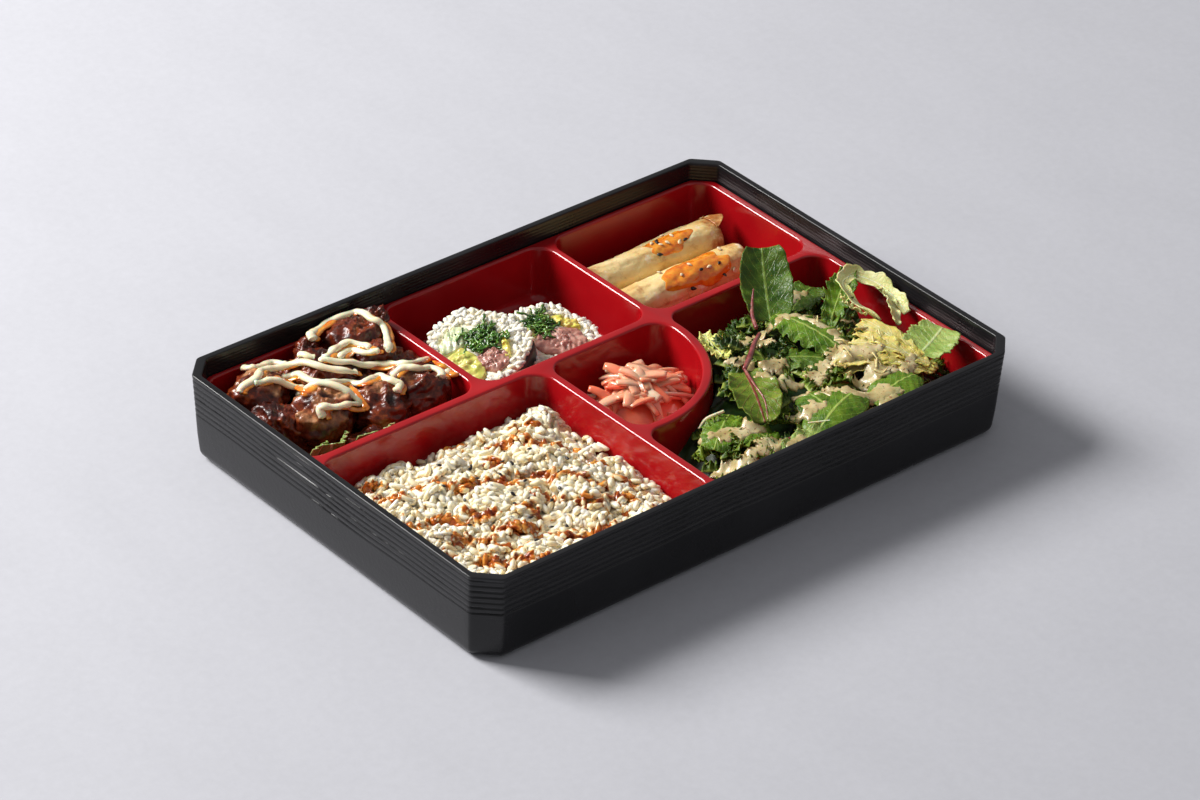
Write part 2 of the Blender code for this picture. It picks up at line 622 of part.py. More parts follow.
def make_maki(outlines):
    """Two thick slices: the left one leans on the right one."""
    room = cavity("room_maki", outlines["maki"], GAP, False)
    thickness = 13.0
    left = slice_frame((-28.0, 66.5, 34.0), (-0.30, -0.10, 0.95))
    right = slice_frame((14.5, 57.8, 28.0), (0.02, -0.14, 0.99))

    def below(face):
        return face - left[3] * thickness

    def floor(face):
        return np.column_stack([face[:, :2], np.full(len(face), POCKET_FLOOR + GAP)])

    made = make_slice("maki_left", left, (24.0, 28.0), (17.5, 18.5, -4.6, -1.5), {
        "avocado": (bar(4.6, 9.6, (-14.6, -1.0), -12), "avocado"),
        "seaweed": (oval(7.4, 5.6, 12, 0.04, 1, (3.0, 1.6)), "seaweed"),
        "cucumber": (oval(7.0, 3.6, 10, 0.0, 1, (-3.0, 11.6)), "leaf_light"),
        "fish": (oval(6.0, 4.6, 12, 0.04, 2, (-4.0, -13.0)), "fish"),
        "egg": (bar(4.6, 1.2, (6.0, -7.6), 28), "egg"),
    }, below)
    pieces = make_slice("maki_right", right, (25.6, 26.0), (17.6, 18.0, 0.0, 0.0), {
        "avocado": (bar(3.4, 5.6, (-9.0, 7.0), 10), "avocado"),
        "seaweed": (oval(5.6, 6.2, 12, 0.05, 3, (1.2, 8.6)), "seaweed"),
        "fish": (oval(8.2, 7.2, 12, 0.03, 2, (-2.2, -7.8)), "fish"),
        "egg": (bar(1.9, 5.2, (11.4, 2.4), 20), "egg"),
    }, floor)
    for piece in made[:2] + pieces[:2]:
        boolean(piece, room, "INTERSECT")
    hull = oval(24.0 + GAP, 28.0 + GAP, 24)
    centre, across, up, normal = left
    face = centre + across * hull[:, :1] + up * hull[:, 1:]
    cutter = stacked("left_slice_space", [face - normal * (thickness + GAP), face + normal], None)
    for piece in pieces:
        boolean(piece, cutter, "DIFFERENCE")


def leaf(name, base, tip, width, sag, cup, power, slot):
    """A thin blade along a bowed spine, narrow at both ends and cupped across."""
    base, tip = np.array(base, float), np.array(tip, float)
    axis = tip - base
    side = np.cross(axis, [0, 0, 1])
    side /= np.linalg.norm(side)
    up = np.cross(side, axis)
    up /= np.linalg.norm(up)
    lengths, across = 7, 4
    along = np.linspace(0, 1, lengths)
    lateral = np.linspace(-1, 1, across)
    half = width / 2 * np.clip(np.sin(math.pi * (0.06 + 0.88 * along)), 0.05, 1) ** power
    sheets = []
    for lift in (-LEAF_THICKNESS / 2, LEAF_THICKNESS / 2):
        rows = []
        for t, reach in zip(along, half):
            middle = base + axis * t - up * sag * 4 * t * (1 - t)
            row = middle + side * (lateral * reach)[:, None]
            row = row + up * (cup * (lateral**2) * reach / (width / 2) + lift)[:, None]
            rows.append(row)
        sheets.append(np.array(rows).reshape(-1, 3))
    total = lengths * across
    faces = []
    for row in range(lengths - 1):
        for column in range(across - 1):
            a = row * across + column
            quad = [a, a + 1, a + across + 1, a + across]
            faces.append(quad)
            faces.append([index + total for index in quad[::-1]])
    rim = list(range(across))
    rim += [row * across + across - 1 for row in range(1, lengths)]
    rim += [(lengths - 1) * across + column for column in range(across - 2, -1, -1)]
    rim += [row * across for row in range(lengths - 2, 0, -1)]
    for here, after in zip(rim, rim[1:] + rim[:1]):
        faces.append([here, here + total, after + total, after])
    made = solid(name, np.vstack(sheets), faces, slot)
    return made


def make_leaves():
    """The large leaves that lie on or stand out of the salad."""
    slots = {
        "leaf_light_green": "leaf_light", "leaf_frisee": "leaf_pale", "leaf_yellow": "leaf_pale",
        "leaf_pale_curl": "leaf_pale", "leaf_folded": "leaf_light",
    }
    for name, values in LEAVES.items():
        leaf(name, *values, slots.get(name, "leaf_dark"))


def face_outwards():
    """Turns any closed mesh whose signed volume is negative."""
    for made in bpy.context.scene.objects:
        mesh = made.data
        mesh.calc_loop_triangles()
        points = np.array([vertex.co[:] for vertex in mesh.vertices])
        corners = np.array([triangle.vertices[:] for triangle in mesh.loop_triangles])
        if np.linalg.det(points[corners] * 1000).sum() < 0:
            mesh.flip_normals()


def main():
    for made in list(bpy.data.objects):
        bpy.data.objects.remove(made)
    outlines = pockets()
    make_box()
    make_tray(outlines)
    heaps = make_heaps(outlines)
    make_chicken(heaps["chicken_base"], outlines)
    make_rolls()
    make_maki(outlines)
    make_leaves()
    face_outwards()


main()
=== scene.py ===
import math

import bpy
import numpy as np
from mathutils import Matrix


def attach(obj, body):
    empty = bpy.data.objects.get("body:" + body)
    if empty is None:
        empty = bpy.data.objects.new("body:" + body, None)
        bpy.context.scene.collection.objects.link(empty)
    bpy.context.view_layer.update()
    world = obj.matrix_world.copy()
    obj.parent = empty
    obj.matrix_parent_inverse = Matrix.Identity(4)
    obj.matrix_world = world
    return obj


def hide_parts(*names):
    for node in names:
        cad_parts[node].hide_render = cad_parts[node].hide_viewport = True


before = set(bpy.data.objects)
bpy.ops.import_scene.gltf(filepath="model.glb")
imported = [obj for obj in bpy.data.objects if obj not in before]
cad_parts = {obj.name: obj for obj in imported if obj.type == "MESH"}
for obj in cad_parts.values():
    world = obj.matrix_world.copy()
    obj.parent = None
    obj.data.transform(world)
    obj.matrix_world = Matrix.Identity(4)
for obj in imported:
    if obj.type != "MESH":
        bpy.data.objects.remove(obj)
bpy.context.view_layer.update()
mm = 0.001

# small helpers shared by every piece


def gridFaces(rows, columns, wrapRows=False, wrapColumns=False):
    # quads of a rows x columns grid of points, each quad turning anticlockwise over (row, column)
    r = np.arange(rows if wrapRows else rows - 1)
    c = np.arange(columns if wrapColumns else columns - 1)
    r, c = np.meshgrid(r, c, indexing="ij")
    r, c = r.ravel(), c.ravel()
    r1, c1 = (r + 1) % rows, (c + 1) % columns
    return np.stack([r * columns + c, r * columns + c1, r1 * columns + c1, r1 * columns + c], 1)


def sheetFaces(rows, columns):
    # a grid, its copy below whose points follow it, and the quads joining their rims, all facing outward
    grid, count = gridFaces(rows, columns), rows * columns
    index = np.arange(count).reshape(rows, columns)
    rim = np.concatenate([index[0], index[1:, -1], index[-1, -2::-1], index[-2:0:-1, 0]])
    after = np.roll(rim, -1)
    return [grid[:, ::-1], grid + count, np.stack([rim, after, after + count, rim + count], 1)]


def fanFaces(ring, tip, flip=False):
    # triangles from every edge of a closed ring of point numbers to one tip
    after = np.roll(ring, -1)
    pair = (after, ring) if flip else (ring, after)
    return np.stack([pair[0], pair[1], np.full(len(ring), tip)], 1)


def makePiece(name, points, faces, material, nodes=(), values=None):
    # points in millimetres; faces is a list of arrays of triangles or quads
    mesh = bpy.data.meshes.new(name)
    flat = [face for group in faces for face in group.tolist()]
    mesh.from_pydata((np.asarray(points) * mm).tolist(), [], flat)
    mesh.polygons.foreach_set("use_smooth", np.full(len(mesh.polygons), True))
    for label, numbers in (values or {}).items():
        attribute = mesh.attributes.new(label, "FLOAT", "POINT")
        attribute.data.foreach_set("value", np.asarray(numbers, np.float32))
    mesh.materials.append(material)
    mesh.update()
    piece = bpy.data.objects.new(name, mesh)
    bpy.context.scene.collection.objects.link(piece)
    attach(piece, "root")
    if nodes:
        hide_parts(*nodes)
    return piece


def stackRings(rings, closeEnds=True, wrapRows=False):
    # (points, faces) of a list of equal closed rings, ends closed by fans to their middles
    count = len(rings[0])
    points = np.vstack(rings)
    faces = [gridFaces(len(rings), count, wrapRows, True)]
    if closeEnds and not wrapRows:
        tips = np.array([rings[0].mean(0), rings[-1].mean(0)])
        first = np.arange(count)
        last = first + (len(rings) - 1) * count
        faces += [fanFaces(first, len(points), True), fanFaces(last, len(points) + 1)]
        points = np.vstack([points, tips])
    return points, faces


def joinParts(parts):
    # several (points, faces, values) joined into one, values being a dictionary of arrays
    points, faces, values, start = [], [], {}, 0
    for part in parts:
        points.append(part[0])
        faces += [np.asarray(group) + start for group in part[1]]
        for label, numbers in (part[2] if len(part) > 2 else {}).items():
            values.setdefault(label, []).append(numbers)
        start += len(part[0])
    return np.vstack(points), faces, {label: np.concatenate(v) for label, v in values.items()}


def makeJoined(name, parts, material, nodes=()):
    # one piece out of several parts; gives back its points
    points, faces, values = joinParts(parts)
    makePiece(name, points, faces, material, nodes, values)
    return points


def waveField(points, seed, size, length, count=7):
    # smooth noise: a sum of sine waves in random directions, about this size and wavelength
    maker = np.random.default_rng(seed)
    total = np.zeros(len(points))
    for _ in range(count):
        way = maker.normal(size=points.shape[1])
        way /= np.linalg.norm(way)
        step = length * maker.uniform(0.6, 1.6)
        total += np.sin(points @ way * 2 * math.pi / step + maker.uniform(0, 6.28))
    return total * size / math.sqrt(count)


def unit(vectors):
    # each vector divided by its own length
    return vectors / np.maximum(np.linalg.norm(vectors, axis=-1, keepdims=True), 1e-9)


def frameAlong(path, up=(0.0, 0.0, 1.0)):
    # unit tangent, side and top directions at each point of a path, the top kept near up
    tangent = unit(np.gradient(path, axis=0))
    up = np.broadcast_to(np.asarray(up, float), path.shape)
    side = unit(np.cross(up, tangent) + 1e-6)
    return tangent, side, np.cross(tangent, side)


def tubePart(path, radius, around=8, flat=1.0, up=(0.0, 0.0, 1.0), power=1.0):
    # a closed tube: at each path point an oval of half width radius and half height radius * flat
    _, side, top = frameAlong(path, up)
    angle = np.arange(around) * 2 * math.pi / around
    c, s = np.cos(angle), np.sin(angle)
    c, s = np.sign(c) * np.abs(c) ** power, np.sign(s) * np.abs(s) ** power
    radius = np.broadcast_to(np.asarray(radius, float), len(path))
    rings = path[:, None] + radius[:, None, None] * (
        side[:, None] * c[None, :, None] + top[:, None] * s[None, :, None] * flat
    )
    return stackRings(list(rings))


def smoothPath(stops, count):
    # a curve through the stops: Catmull-Rom, sampled evenly in its parameter
    stops = np.asarray(stops, float)
    padded = np.vstack([2 * stops[0] - stops[1], stops, 2 * stops[-1] - stops[-2]])
    t = np.linspace(0, len(stops) - 1 - 1e-6, count)
    i = t.astype(int)
    f = (t - i)[:, None]
    a, b, c, d = (padded[i + k] for k in range(4))
    return 0.5 * (
        2 * b + (c - a) * f + (2 * a - 5 * b + 4 * c - d) * f**2 + (3 * b - a - 3 * c + d) * f**3
    )


class TopMap:
    # highest point of some pieces over a grid of x, y cells, spread into empty cells and softened
    def __init__(self, clouds, box, cell=1.4, low=20.0, soften=2):
        self.left, self.front, self.cell = box[0], box[2], cell
        self.shape = (int((box[1] - box[0]) / cell) + 2, int((box[3] - box[2]) / cell) + 2)
        grid = np.full(self.shape, low)
        for points in clouds:
            i = ((points[:, 0] - self.left) / cell).astype(int)
            j = ((points[:, 1] - self.front) / cell).astype(int)
            inside = (i >= 0) & (j >= 0) & (i < self.shape[0]) & (j < self.shape[1])
            np.maximum.at(grid, (i[inside], j[inside]), points[inside, 2])
        for _ in range(3):
            near = np.max([np.roll(grid, shift, axis) for shift in (1, -1) for axis in (0, 1)], 0)
            grid = np.where(grid <= low + 1e-6, near, grid)
        for _ in range(soften):
            grid = (grid * 2 + sum(np.roll(grid, shift, axis) for shift in (1, -1) for axis in (0, 1))) / 6
        self.grid = grid

    def heightAt(self, flat):
        # the four nearest cells weighed by how near each point is to them
        x = np.clip((flat[:, 0] - self.left) / self.cell - 0.5, 0, self.shape[0] - 1.001)
        y = np.clip((flat[:, 1] - self.front) / self.cell - 0.5, 0, self.shape[1] - 1.001)
        i, j = x.astype(int), y.astype(int)
        a, b = x - i, y - j
        g = self.grid
        return (g[i, j] * (1 - a) + g[i + 1, j] * a) * (1 - b) + (g[i, j + 1] * (1 - a) + g[i + 1, j + 1] * a) * b


# materials


def newMaterial(name, colour, roughness, **sockets):
    # a principled material; further socket names are written with underscores for spaces
    made = bpy.data.materials.new(name)
    made.use_nodes = True
    shader = made.node_tree.nodes["Principled BSDF"]
    shader.inputs["Base Color"].default_value = (*colour, 1)
    shader.inputs["Roughness"].default_value = roughness
    for label, value in sockets.items():
        shader.inputs[label.replace("_", " ")].default_value = value
    return made


class Wiring:
    # short calls for the nodes that the materials below share
    def __init__(self, material):
        self.tree = material.node_tree
        self.shader = self.tree.nodes["Principled BSDF"]
        self.place = self.add("ShaderNodeTexCoord").outputs["Object"]

    def add(self, kind, **settings):
        node = self.tree.nodes.new(kind)
        for label, value in settings.items():
            setattr(node, label, value)
        return node

    def join(self, source, target):
        self.tree.links.new(source, target)

    def scaled(self, scale, turn=(0, 0, 0)):
        # object coordinates stretched and turned
        node = self.add("ShaderNodeMapping")
        node.inputs["Scale"].default_value = scale
        node.inputs["Rotation"].default_value = turn
        self.join(self.place, node.inputs["Vector"])
        return node.outputs["Vector"]

    def noise(self, scale, detail=4.0, rough=0.55, source=None):
        node = self.add("ShaderNodeTexNoise")
        node.inputs["Scale"].default_value = scale
        node.inputs["Detail"].default_value = detail
        node.inputs["Roughness"].default_value = rough
        self.join(source or self.place, node.inputs["Vector"])
        return node.outputs["Fac"]

    def cellEdges(self, scale):
        node = self.add("ShaderNodeTexVoronoi", feature="DISTANCE_TO_EDGE")
        node.inputs["Scale"].default_value = scale
        self.join(self.place, node.inputs["Vector"])
        return node.outputs["Distance"]

    def value(self, label):
        return self.add("ShaderNodeAttribute", attribute_name=label).outputs["Fac"]

    def ramp(self, source, stops):
        node = self.add("ShaderNodeValToRGB")
        band = node.color_ramp
        while len(band.elements) < len(stops):
            band.elements.new(0.5)
        for element, (place, colour) in zip(band.elements, stops):
            element.position = place
            element.color = (*colour, 1)
        self.join(source, node.inputs["Fac"])
        return node.outputs["Color"]

    def grey(self, source, low, high, first=0.0, last=1.0):
        # remaps low..high of the source to first..last
        node = self.add("ShaderNodeMapRange")
        for label, value in zip(("From Min", "From Max", "To Min", "To Max"), (low, high, first, last)):
            node.inputs[label].default_value = value
        self.join(source, node.inputs["Value"])
        return node.outputs["Result"]

    def mix(self, factor, a, b, blend="MIX"):
        node = self.add("ShaderNodeMix", data_type="RGBA", blend_type=blend)
        for slotIndex, item in ((0, factor), (6, a), (7, b)):
            socket = node.inputs[slotIndex]
            if isinstance(item, (int, float)):
                socket.default_value = item
            elif isinstance(item, tuple):
                socket.default_value = (*item, 1)
            else:
                self.join(item, socket)
        return node.outputs[2]

    def maths(self, operation, a, b=0.0):
        node = self.add("ShaderNodeMath", operation=operation)
        for socket, item in zip(node.inputs, (a, b)):
            if isinstance(item, (int, float)):
                socket.default_value = item
            else:
                self.join(item, socket)
        return node.outputs[0]

    def bump(self, height, distance, strength):
        # relief of this depth in metres
        node = self.add("ShaderNodeBump")
        node.inputs["Distance"].default_value = distance
        node.inputs["Strength"].default_value = strength
        self.join(height, node.inputs["Height"])
        return node.outputs["Normal"]

    def finish(self, colour=None, roughness=None, normal=None):
        # wires whatever is given to the shader
        for socket, source in (("Base Color", colour), ("Roughness", roughness), ("Normal", normal)):
            if source is not None:
                self.join(source, self.shader.inputs[socket])


def sauceMaterial(name, colours, roughness=0.12):
    # a glossy coat over three tones of the same sauce, mottled by noise
    made = newMaterial(
        name, colours[1], roughness, Specular_IOR_Level=0.6, Coat_Weight=0.5, Coat_Roughness=0.05,
        Subsurface_Weight=0.2, Subsurface_Scale=0.003,
    )
    wires = Wiring(made)
    tone = wires.noise(210.0, 4.0)
    wires.finish(
        colour=wires.ramp(tone, [(0.3, colours[0]), (0.5, colours[1]), (0.72, colours[2])]),
        normal=wires.bump(wires.noise(330.0, 2.0), 0.0003, 0.3),
    )
    return made


# camera, floor and light

cameraSetup = {
    "place": (-1.48878, -1.69726, 1.49386), "azimuth": -41.2407, "elevation": 33.0744,
    "roll": 2.1296, "lens": 155.178,
}


def makeCamera(setup):
    # the camera looks against a back direction given by azimuth and elevation, then rolls about it
    a, e, r = (math.radians(setup[key]) for key in ("azimuth", "elevation", "roll"))
    back = np.array([math.sin(a) * math.cos(e), -math.cos(a) * math.cos(e), math.sin(e)])
    right = np.array([math.cos(a), math.sin(a), 0.0])
    up = np.cross(back, right)
    right, up = right * math.cos(r) + up * math.sin(r), up * math.cos(r) - right * math.sin(r)
    data = bpy.data.cameras.new("mealCamera")
    data.lens, data.sensor_width = setup["lens"], 36.0
    data.clip_start, data.clip_end = 0.1, 30.0
    camera = bpy.data.objects.new("mealCamera", data)
    bpy.context.scene.collection.objects.link(camera)
    matrix = np.eye(4)
    matrix[:3, 0], matrix[:3, 1], matrix[:3, 2], matrix[:3, 3] = right, up, back, setup["place"]
    camera.matrix_world = Matrix(matrix.tolist())
    bpy.context.scene.camera = camera


lightSetup = {
    "key": {"place": (-1.14, 1.83, 1.66), "size": (1.15, 1.15), "power": 134.0, "colour": (1.0, 0.985, 0.965)},
    "fill": {"place": (0.6, -2.4, 2.0), "size": (2.0, 1.4), "power": 2.0, "colour": (0.95, 0.97, 1.0)},
    "world": (0.88, 0.88, 0.90), "worldStrength": 0.31,
    "floor": (0.485, 0.49, 0.53), "floorHalf": 6.0,
}


def makeStage(setup):
    # a flat pale slab with faint mottling, two soft area lights and an even sky
    world = bpy.data.worlds.new("softSky")
    world.use_nodes = True
    sky = world.node_tree.nodes["Background"]
    sky.inputs["Color"].default_value = (*setup["world"], 1)
    sky.inputs["Strength"].default_value = setup["worldStrength"]
    bpy.context.scene.world = world
    bpy.context.scene.view_settings.view_transform = "Standard"
    for label in ("key", "fill"):
        values = setup[label]
        data = bpy.data.lights.new(label + "Light", "AREA")
        data.shape, data.energy, data.color = "RECTANGLE", values["power"], values["colour"]
        data.size, data.size_y = values["size"]
        light = bpy.data.objects.new(label + "Light", data)
        bpy.context.scene.collection.objects.link(light)
        place = np.array(values["place"])
        back = unit(place)
        right = unit(np.cross([0, 0, 1], back))
        matrix = np.eye(4)
        matrix[:3, 0], matrix[:3, 1], matrix[:3, 2] = right, np.cross(back, right), back
        matrix[:3, 3] = place
        light.matrix_world = Matrix(matrix.tolist())
    mesh = bpy.data.meshes.new("floor")
    edge = setup["floorHalf"]
    mesh.from_pydata([(-edge, -edge, 0), (edge, -edge, 0), (edge, edge, 0), (-edge, edge, 0)], [], [(0, 1, 2, 3)])
    floor = bpy.data.objects.new("floor", mesh)
    bpy.context.scene.collection.objects.link(floor)
    paint = newMaterial("paleFloor", setup["floor"], 0.7)
    wires = Wiring(paint)
    broad = wires.noise(22.0, 5.0, 0.6, source=wires.scaled((1.0, 0.45, 1.0), (0, 0, 0.7)))
    fine = wires.noise(190.0, 6.0, 0.7)
    tone = wires.mix(0.6, broad, fine)
    low = tuple(c * 0.95 for c in setup["floor"])
    high = tuple(min(1, c * 1.03) for c in setup["floor"])
    wires.finish(colour=wires.ramp(tone, [(0.35, low), (0.65, high)]))
    mesh.materials.append(paint)


makeCamera(cameraSetup)
makeStage(lightSetup)
print("camera, floor and light ready")

# outer box

boxShape = {
    "halfX": 180.0, "halfY": 125.4, "height": 51.1, "chamfer": 11.7, "draft": 2.5, "footRadius": 6.0,
    "rimWidth": 3.8, "floor": 2.8, "ledge": 38.0, "ledgeX": 173.2, "ledgeY": 120.2,
    "ribLow": 25.5, "ribHigh": 49.6, "ribDepth": 0.75, "edgeStep": 3.2,
}


def eightSides(halfX, halfY, chamfer, soft, step):
    # a rectangle with chamfered, softened corners, its straight runs divided about every step
    stops = []
    for sx, sy in ((1, 1), (-1, 1), (-1, -1), (1, -1)):
        corners = [np.array([sx * halfX, sy * (halfY - chamfer)]), np.array([sx * (halfX - chamfer), sy * halfY])]
        if sx * sy < 0:
            corners.reverse()
        stops += corners
    stops = np.array(stops)
    runs = []
    for index, corner in enumerate(stops):
        before, after = stops[index - 1], stops[(index + 1) % 8]
        inward, outward = unit(before - corner), unit(after - corner)
        t = np.linspace(0, 1, 5)[:, None]
        start, end = corner + inward * soft, corner + outward * soft
        runs.append((1 - t) ** 2 * start + 2 * t * (1 - t) * corner + t**2 * end)
        gap = np.linalg.norm(after - corner) - 2 * soft
        many = max(1, int(round(gap / step)))
        t = np.linspace(0, 1, many + 1)[1:-1, None]
        if len(t):
            runs.append(end + (after - outward * soft - end) * t)
    return np.vstack(runs)


def ribRelief(height, outline, shape):
    # depth of the grooves: two sets of narrow level waves whose lines wander and fade along the side
    along = np.concatenate([[0], np.cumsum(np.linalg.norm(np.diff(outline, axis=0), axis=1))])
    turns = along * 2 * math.pi / (along[-1] + 0.01)
    wander = 0.55 * np.sin(3 * turns + 0.4) + 0.35 * np.sin(7 * turns + 1.7) + 0.22 * np.sin(17 * turns)
    lines = height[:, None] + wander[None]
    broad = np.clip(np.sin(lines * 2 * math.pi / 3.4), 0, 1) ** 2
    fine = np.clip(np.sin(lines * 2 * math.pi / 1.45 + 1.3 * np.sin(5 * turns)[None]), 0, 1) ** 3
    fade = 0.5 + 0.5 * np.sin(4 * turns + 2.0)[None] * np.cos(lines * 0.9)
    edge = np.clip((height - shape["ribLow"]) / 1.5, 0, 1) * np.clip((shape["ribHigh"] - height) / 1.0, 0, 1)
    return shape["ribDepth"] * edge[:, None] * (0.8 * broad + 0.22 * fine * fade)


def makeOuterBox(shape):
    # profile carried round an eight-sided outline: foot curve, grooved wall, rim, inner wall, ledge, floor
    base = eightSides(shape["halfX"], shape["halfY"], shape["chamfer"], 1.6, shape["edgeStep"])
    high = shape["height"]

    def ring(height, depth, relief=0.0):
        # the outline scaled in by depth, then each point moved in by its groove
        scale = np.array([(shape["halfX"] - depth) / shape["halfX"], (shape["halfY"] - depth) / shape["halfY"]])
        flat = base * scale - unit(base * [0.5, 1.0]) * np.reshape(relief, (-1, 1))
        return np.column_stack([flat, np.full(len(flat), height)])

    def inside(height, depth):
        # the outline scaled to the inner wall less depth
        x, y = shape["ledgeX"] - depth, shape["ledgeY"] - depth
        flat = base * [x / shape["halfX"], y / shape["halfY"]]
        return np.column_stack([flat, np.full(len(flat), height)])

    def lean(height):
        # how far the outer wall has come in, none at the rim and the full draft at the foot
        return shape["draft"] * (1 - height / high)

    rings = []
    for angle in np.linspace(0, math.pi / 2, 7):
        radius = shape["footRadius"]
        rings.append(ring(radius * (1 - math.cos(angle)), lean(0) + radius * (1 - math.sin(angle))))
    rings.append(ring(15.0, lean(15.0)))
    heights = np.arange(shape["ribLow"] - 1, shape["ribHigh"] + 0.5, 0.33)
    relief = ribRelief(heights, base, shape)
    rings += [ring(h, lean(h), depth) for h, depth in zip(heights, relief)]
    for angle in np.linspace(0, math.pi / 2, 5):
        rings.append(ring(high - 0.6 + 0.6 * math.sin(angle), 0.6 * (1 - math.cos(angle))))
    rim = shape["rimWidth"]
    for angle in np.linspace(0, math.pi / 2, 5):
        rings.append(ring(high - 0.6 + 0.6 * math.cos(angle), rim - 0.6 + 0.6 * math.sin(angle)))
    innerHeights = np.arange(high - 1.2, shape["ledge"] + 1.0, -0.33)
    inner = 0.45 * ribRelief(shape["ribLow"] + (high - innerHeights) * 1.7, base, shape)
    rings += [
        ring(h, rim + 0.25 - 0.03 * (h - shape["ledge"]) / 13, -depth * 0.5) for h, depth in zip(innerHeights, inner)
    ]
    rings += [ring(shape["ledge"], rim + 0.3), inside(shape["ledge"], 0.0)]
    rings += [inside(shape["floor"] + 3.0, 0.3), inside(shape["floor"], 3.0)]
    points, faces = stackRings(rings)
    paint = newMaterial("blackLacquer", (0.009, 0.009, 0.0105), 0.28, Specular_IOR_Level=0.34)
    wires = Wiring(paint)
    speck = wires.noise(420.0, 5.0, 0.6)
    smear = wires.noise(26.0, 3.0, 0.5)
    wires.finish(
        colour=wires.ramp(smear, [(0.3, (0.007, 0.007, 0.008)), (0.7, (0.013, 0.013, 0.0145))]),
        roughness=wires.grey(smear, 0.3, 0.7, 0.24, 0.34),
        normal=wires.bump(speck, 0.0004, 0.25),
    )
    walls = [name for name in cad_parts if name.startswith("outer_box")]
    piece = makePiece("boxShell", points, faces, paint, walls)
    piece.data.set_sharp_from_angle(angle=math.radians(50))
    print("outer box:", len(points), "points")


makeOuterBox(boxShape)

# tray

trayShape = {
    "top": 40.5, "skin": 2.2, "wall": 1.6, "halfX": 175.0, "halfY": 120.9, "chamfer": 9.6,
    "floor": 10.0, "draft": 3.0, "lip": 1.5, "left": -170.5, "right": 170.6, "backTop": 118.0,
    "backBottom": 28.2, "frontTop": 22.3, "frontBottom": -118.0, "corner": 11.0, "divider": 5.6,
    "roundX": -4.0, "roundY": 11.0, "roundRadius": 62.0, "innerLeft": -18.6, "riceCorner": 12.5,
}


def arcRun(arcs):
    # points along arcs of (centre x, centre y, radius, first angle, last angle, steps)
    runs = []
    for x, y, radius, first, last, steps in arcs:
        angle = np.radians(np.linspace(first, last, steps + 1))
        runs.append(np.column_stack([x + radius * np.cos(angle), y + radius * np.sin(angle)]))
    points = np.vstack(runs)
    return points[np.linalg.norm(points - np.roll(points, 1, axis=0), axis=1) > 1e-4]


def roundedBox(left, right, bottom, top, radii, steps=(10, 10, 10, 10)):
    # a rectangle with four round corners, counted anticlockwise from the right top one
    a, b, c, d = radii
    return arcRun([
        (right - a, top - a, a, 0, 90, steps[0]), (left + b, top - b, b, 90, 180, steps[1]),
        (left + c, bottom + c, c, 180, 270, steps[2]), (right - d, bottom + d, d, 270, 360, steps[3]),
    ])


def moveIn(outline, distance):
    # the outline moved inwards along its mitred corners
    before = unit(outline - np.roll(outline, 1, axis=0))
    after = unit(np.roll(outline, -1, axis=0) - outline)
    normal = unit(np.column_stack([-before[:, 1] - after[:, 1], before[:, 0] + after[:, 0]]))
    side = np.column_stack([-before[:, 1], before[:, 0]])
    return outline + normal * distance / np.sum(normal * side, axis=1, keepdims=True)


def saladRun(s):
    # the pocket round the D: straight sides, and an arc met by a fillet at each end
    x, y, radius = s["roundX"], s["roundY"], s["roundRadius"] + s["divider"]
    corner, topFillet, lowFillet = s["corner"], 8.0, 9.0
    low = s["frontTop"] - topFillet - y
    reach = math.sqrt((radius + topFillet) ** 2 - low**2)
    left = s["innerLeft"] + lowFillet - x
    drop = -math.sqrt((radius + lowFillet) ** 2 - left**2)
    topAngle, lowAngle = math.degrees(math.atan2(low, reach)), math.degrees(math.atan2(drop, left))
    return arcRun([
        (s["right"] - corner, s["frontTop"] - corner, corner, 0, 90, 10),
        (x + reach, y + low, topFillet, 90, 180 + topAngle, 10),
        (x, y, radius, topAngle - 2, lowAngle + 2, 30),
        (x + left, y + drop, lowFillet, 180 + lowAngle, 180, 10),
        (s["innerLeft"] + corner, s["frontBottom"] + corner, corner, 180, 270, 10),
        (s["right"] - corner, s["frontBottom"] + corner, corner, 270, 360, 10),
    ])


def pocketRuns(s):
    # the top outline of every pocket by name
    same = [s["corner"]] * 4
    low, top = s["backBottom"], s["backTop"]
    x, y, radius = s["roundX"], s["roundY"], s["roundRadius"]
    return {
        "chicken": roundedBox(s["left"], -60.0, low, top, same),
        "maki": roundedBox(-54.4, 56.6, low, top, same),
        "rolls": roundedBox(61.3, s["right"], low, top, same),
        "rice": roundedBox(s["left"], -24.0, s["frontBottom"], s["frontTop"], [s["riceCorner"]] * 4),
        "pickle": roundedBox(
            s["innerLeft"], x + radius, y - radius, s["frontTop"], [s["frontTop"] - y, 10.0, 10.0, radius],
            (10, 10, 10, 36),
        ),
        "salad": saladRun(s),
    }


def helperSolid(name, rings):
    # a closed stack of rings that only serves as a cutting tool
    points, faces = stackRings(rings)
    mesh = bpy.data.meshes.new(name)
    mesh.from_pydata((points * mm).tolist(), [], [f for group in faces for f in group.tolist()])
    made = bpy.data.objects.new(name, mesh)
    bpy.context.scene.collection.objects.link(made)
    return made


def levelRing(outline, height):
    # a flat outline lifted to one height
    return np.column_stack([outline, np.full(len(outline), height)])


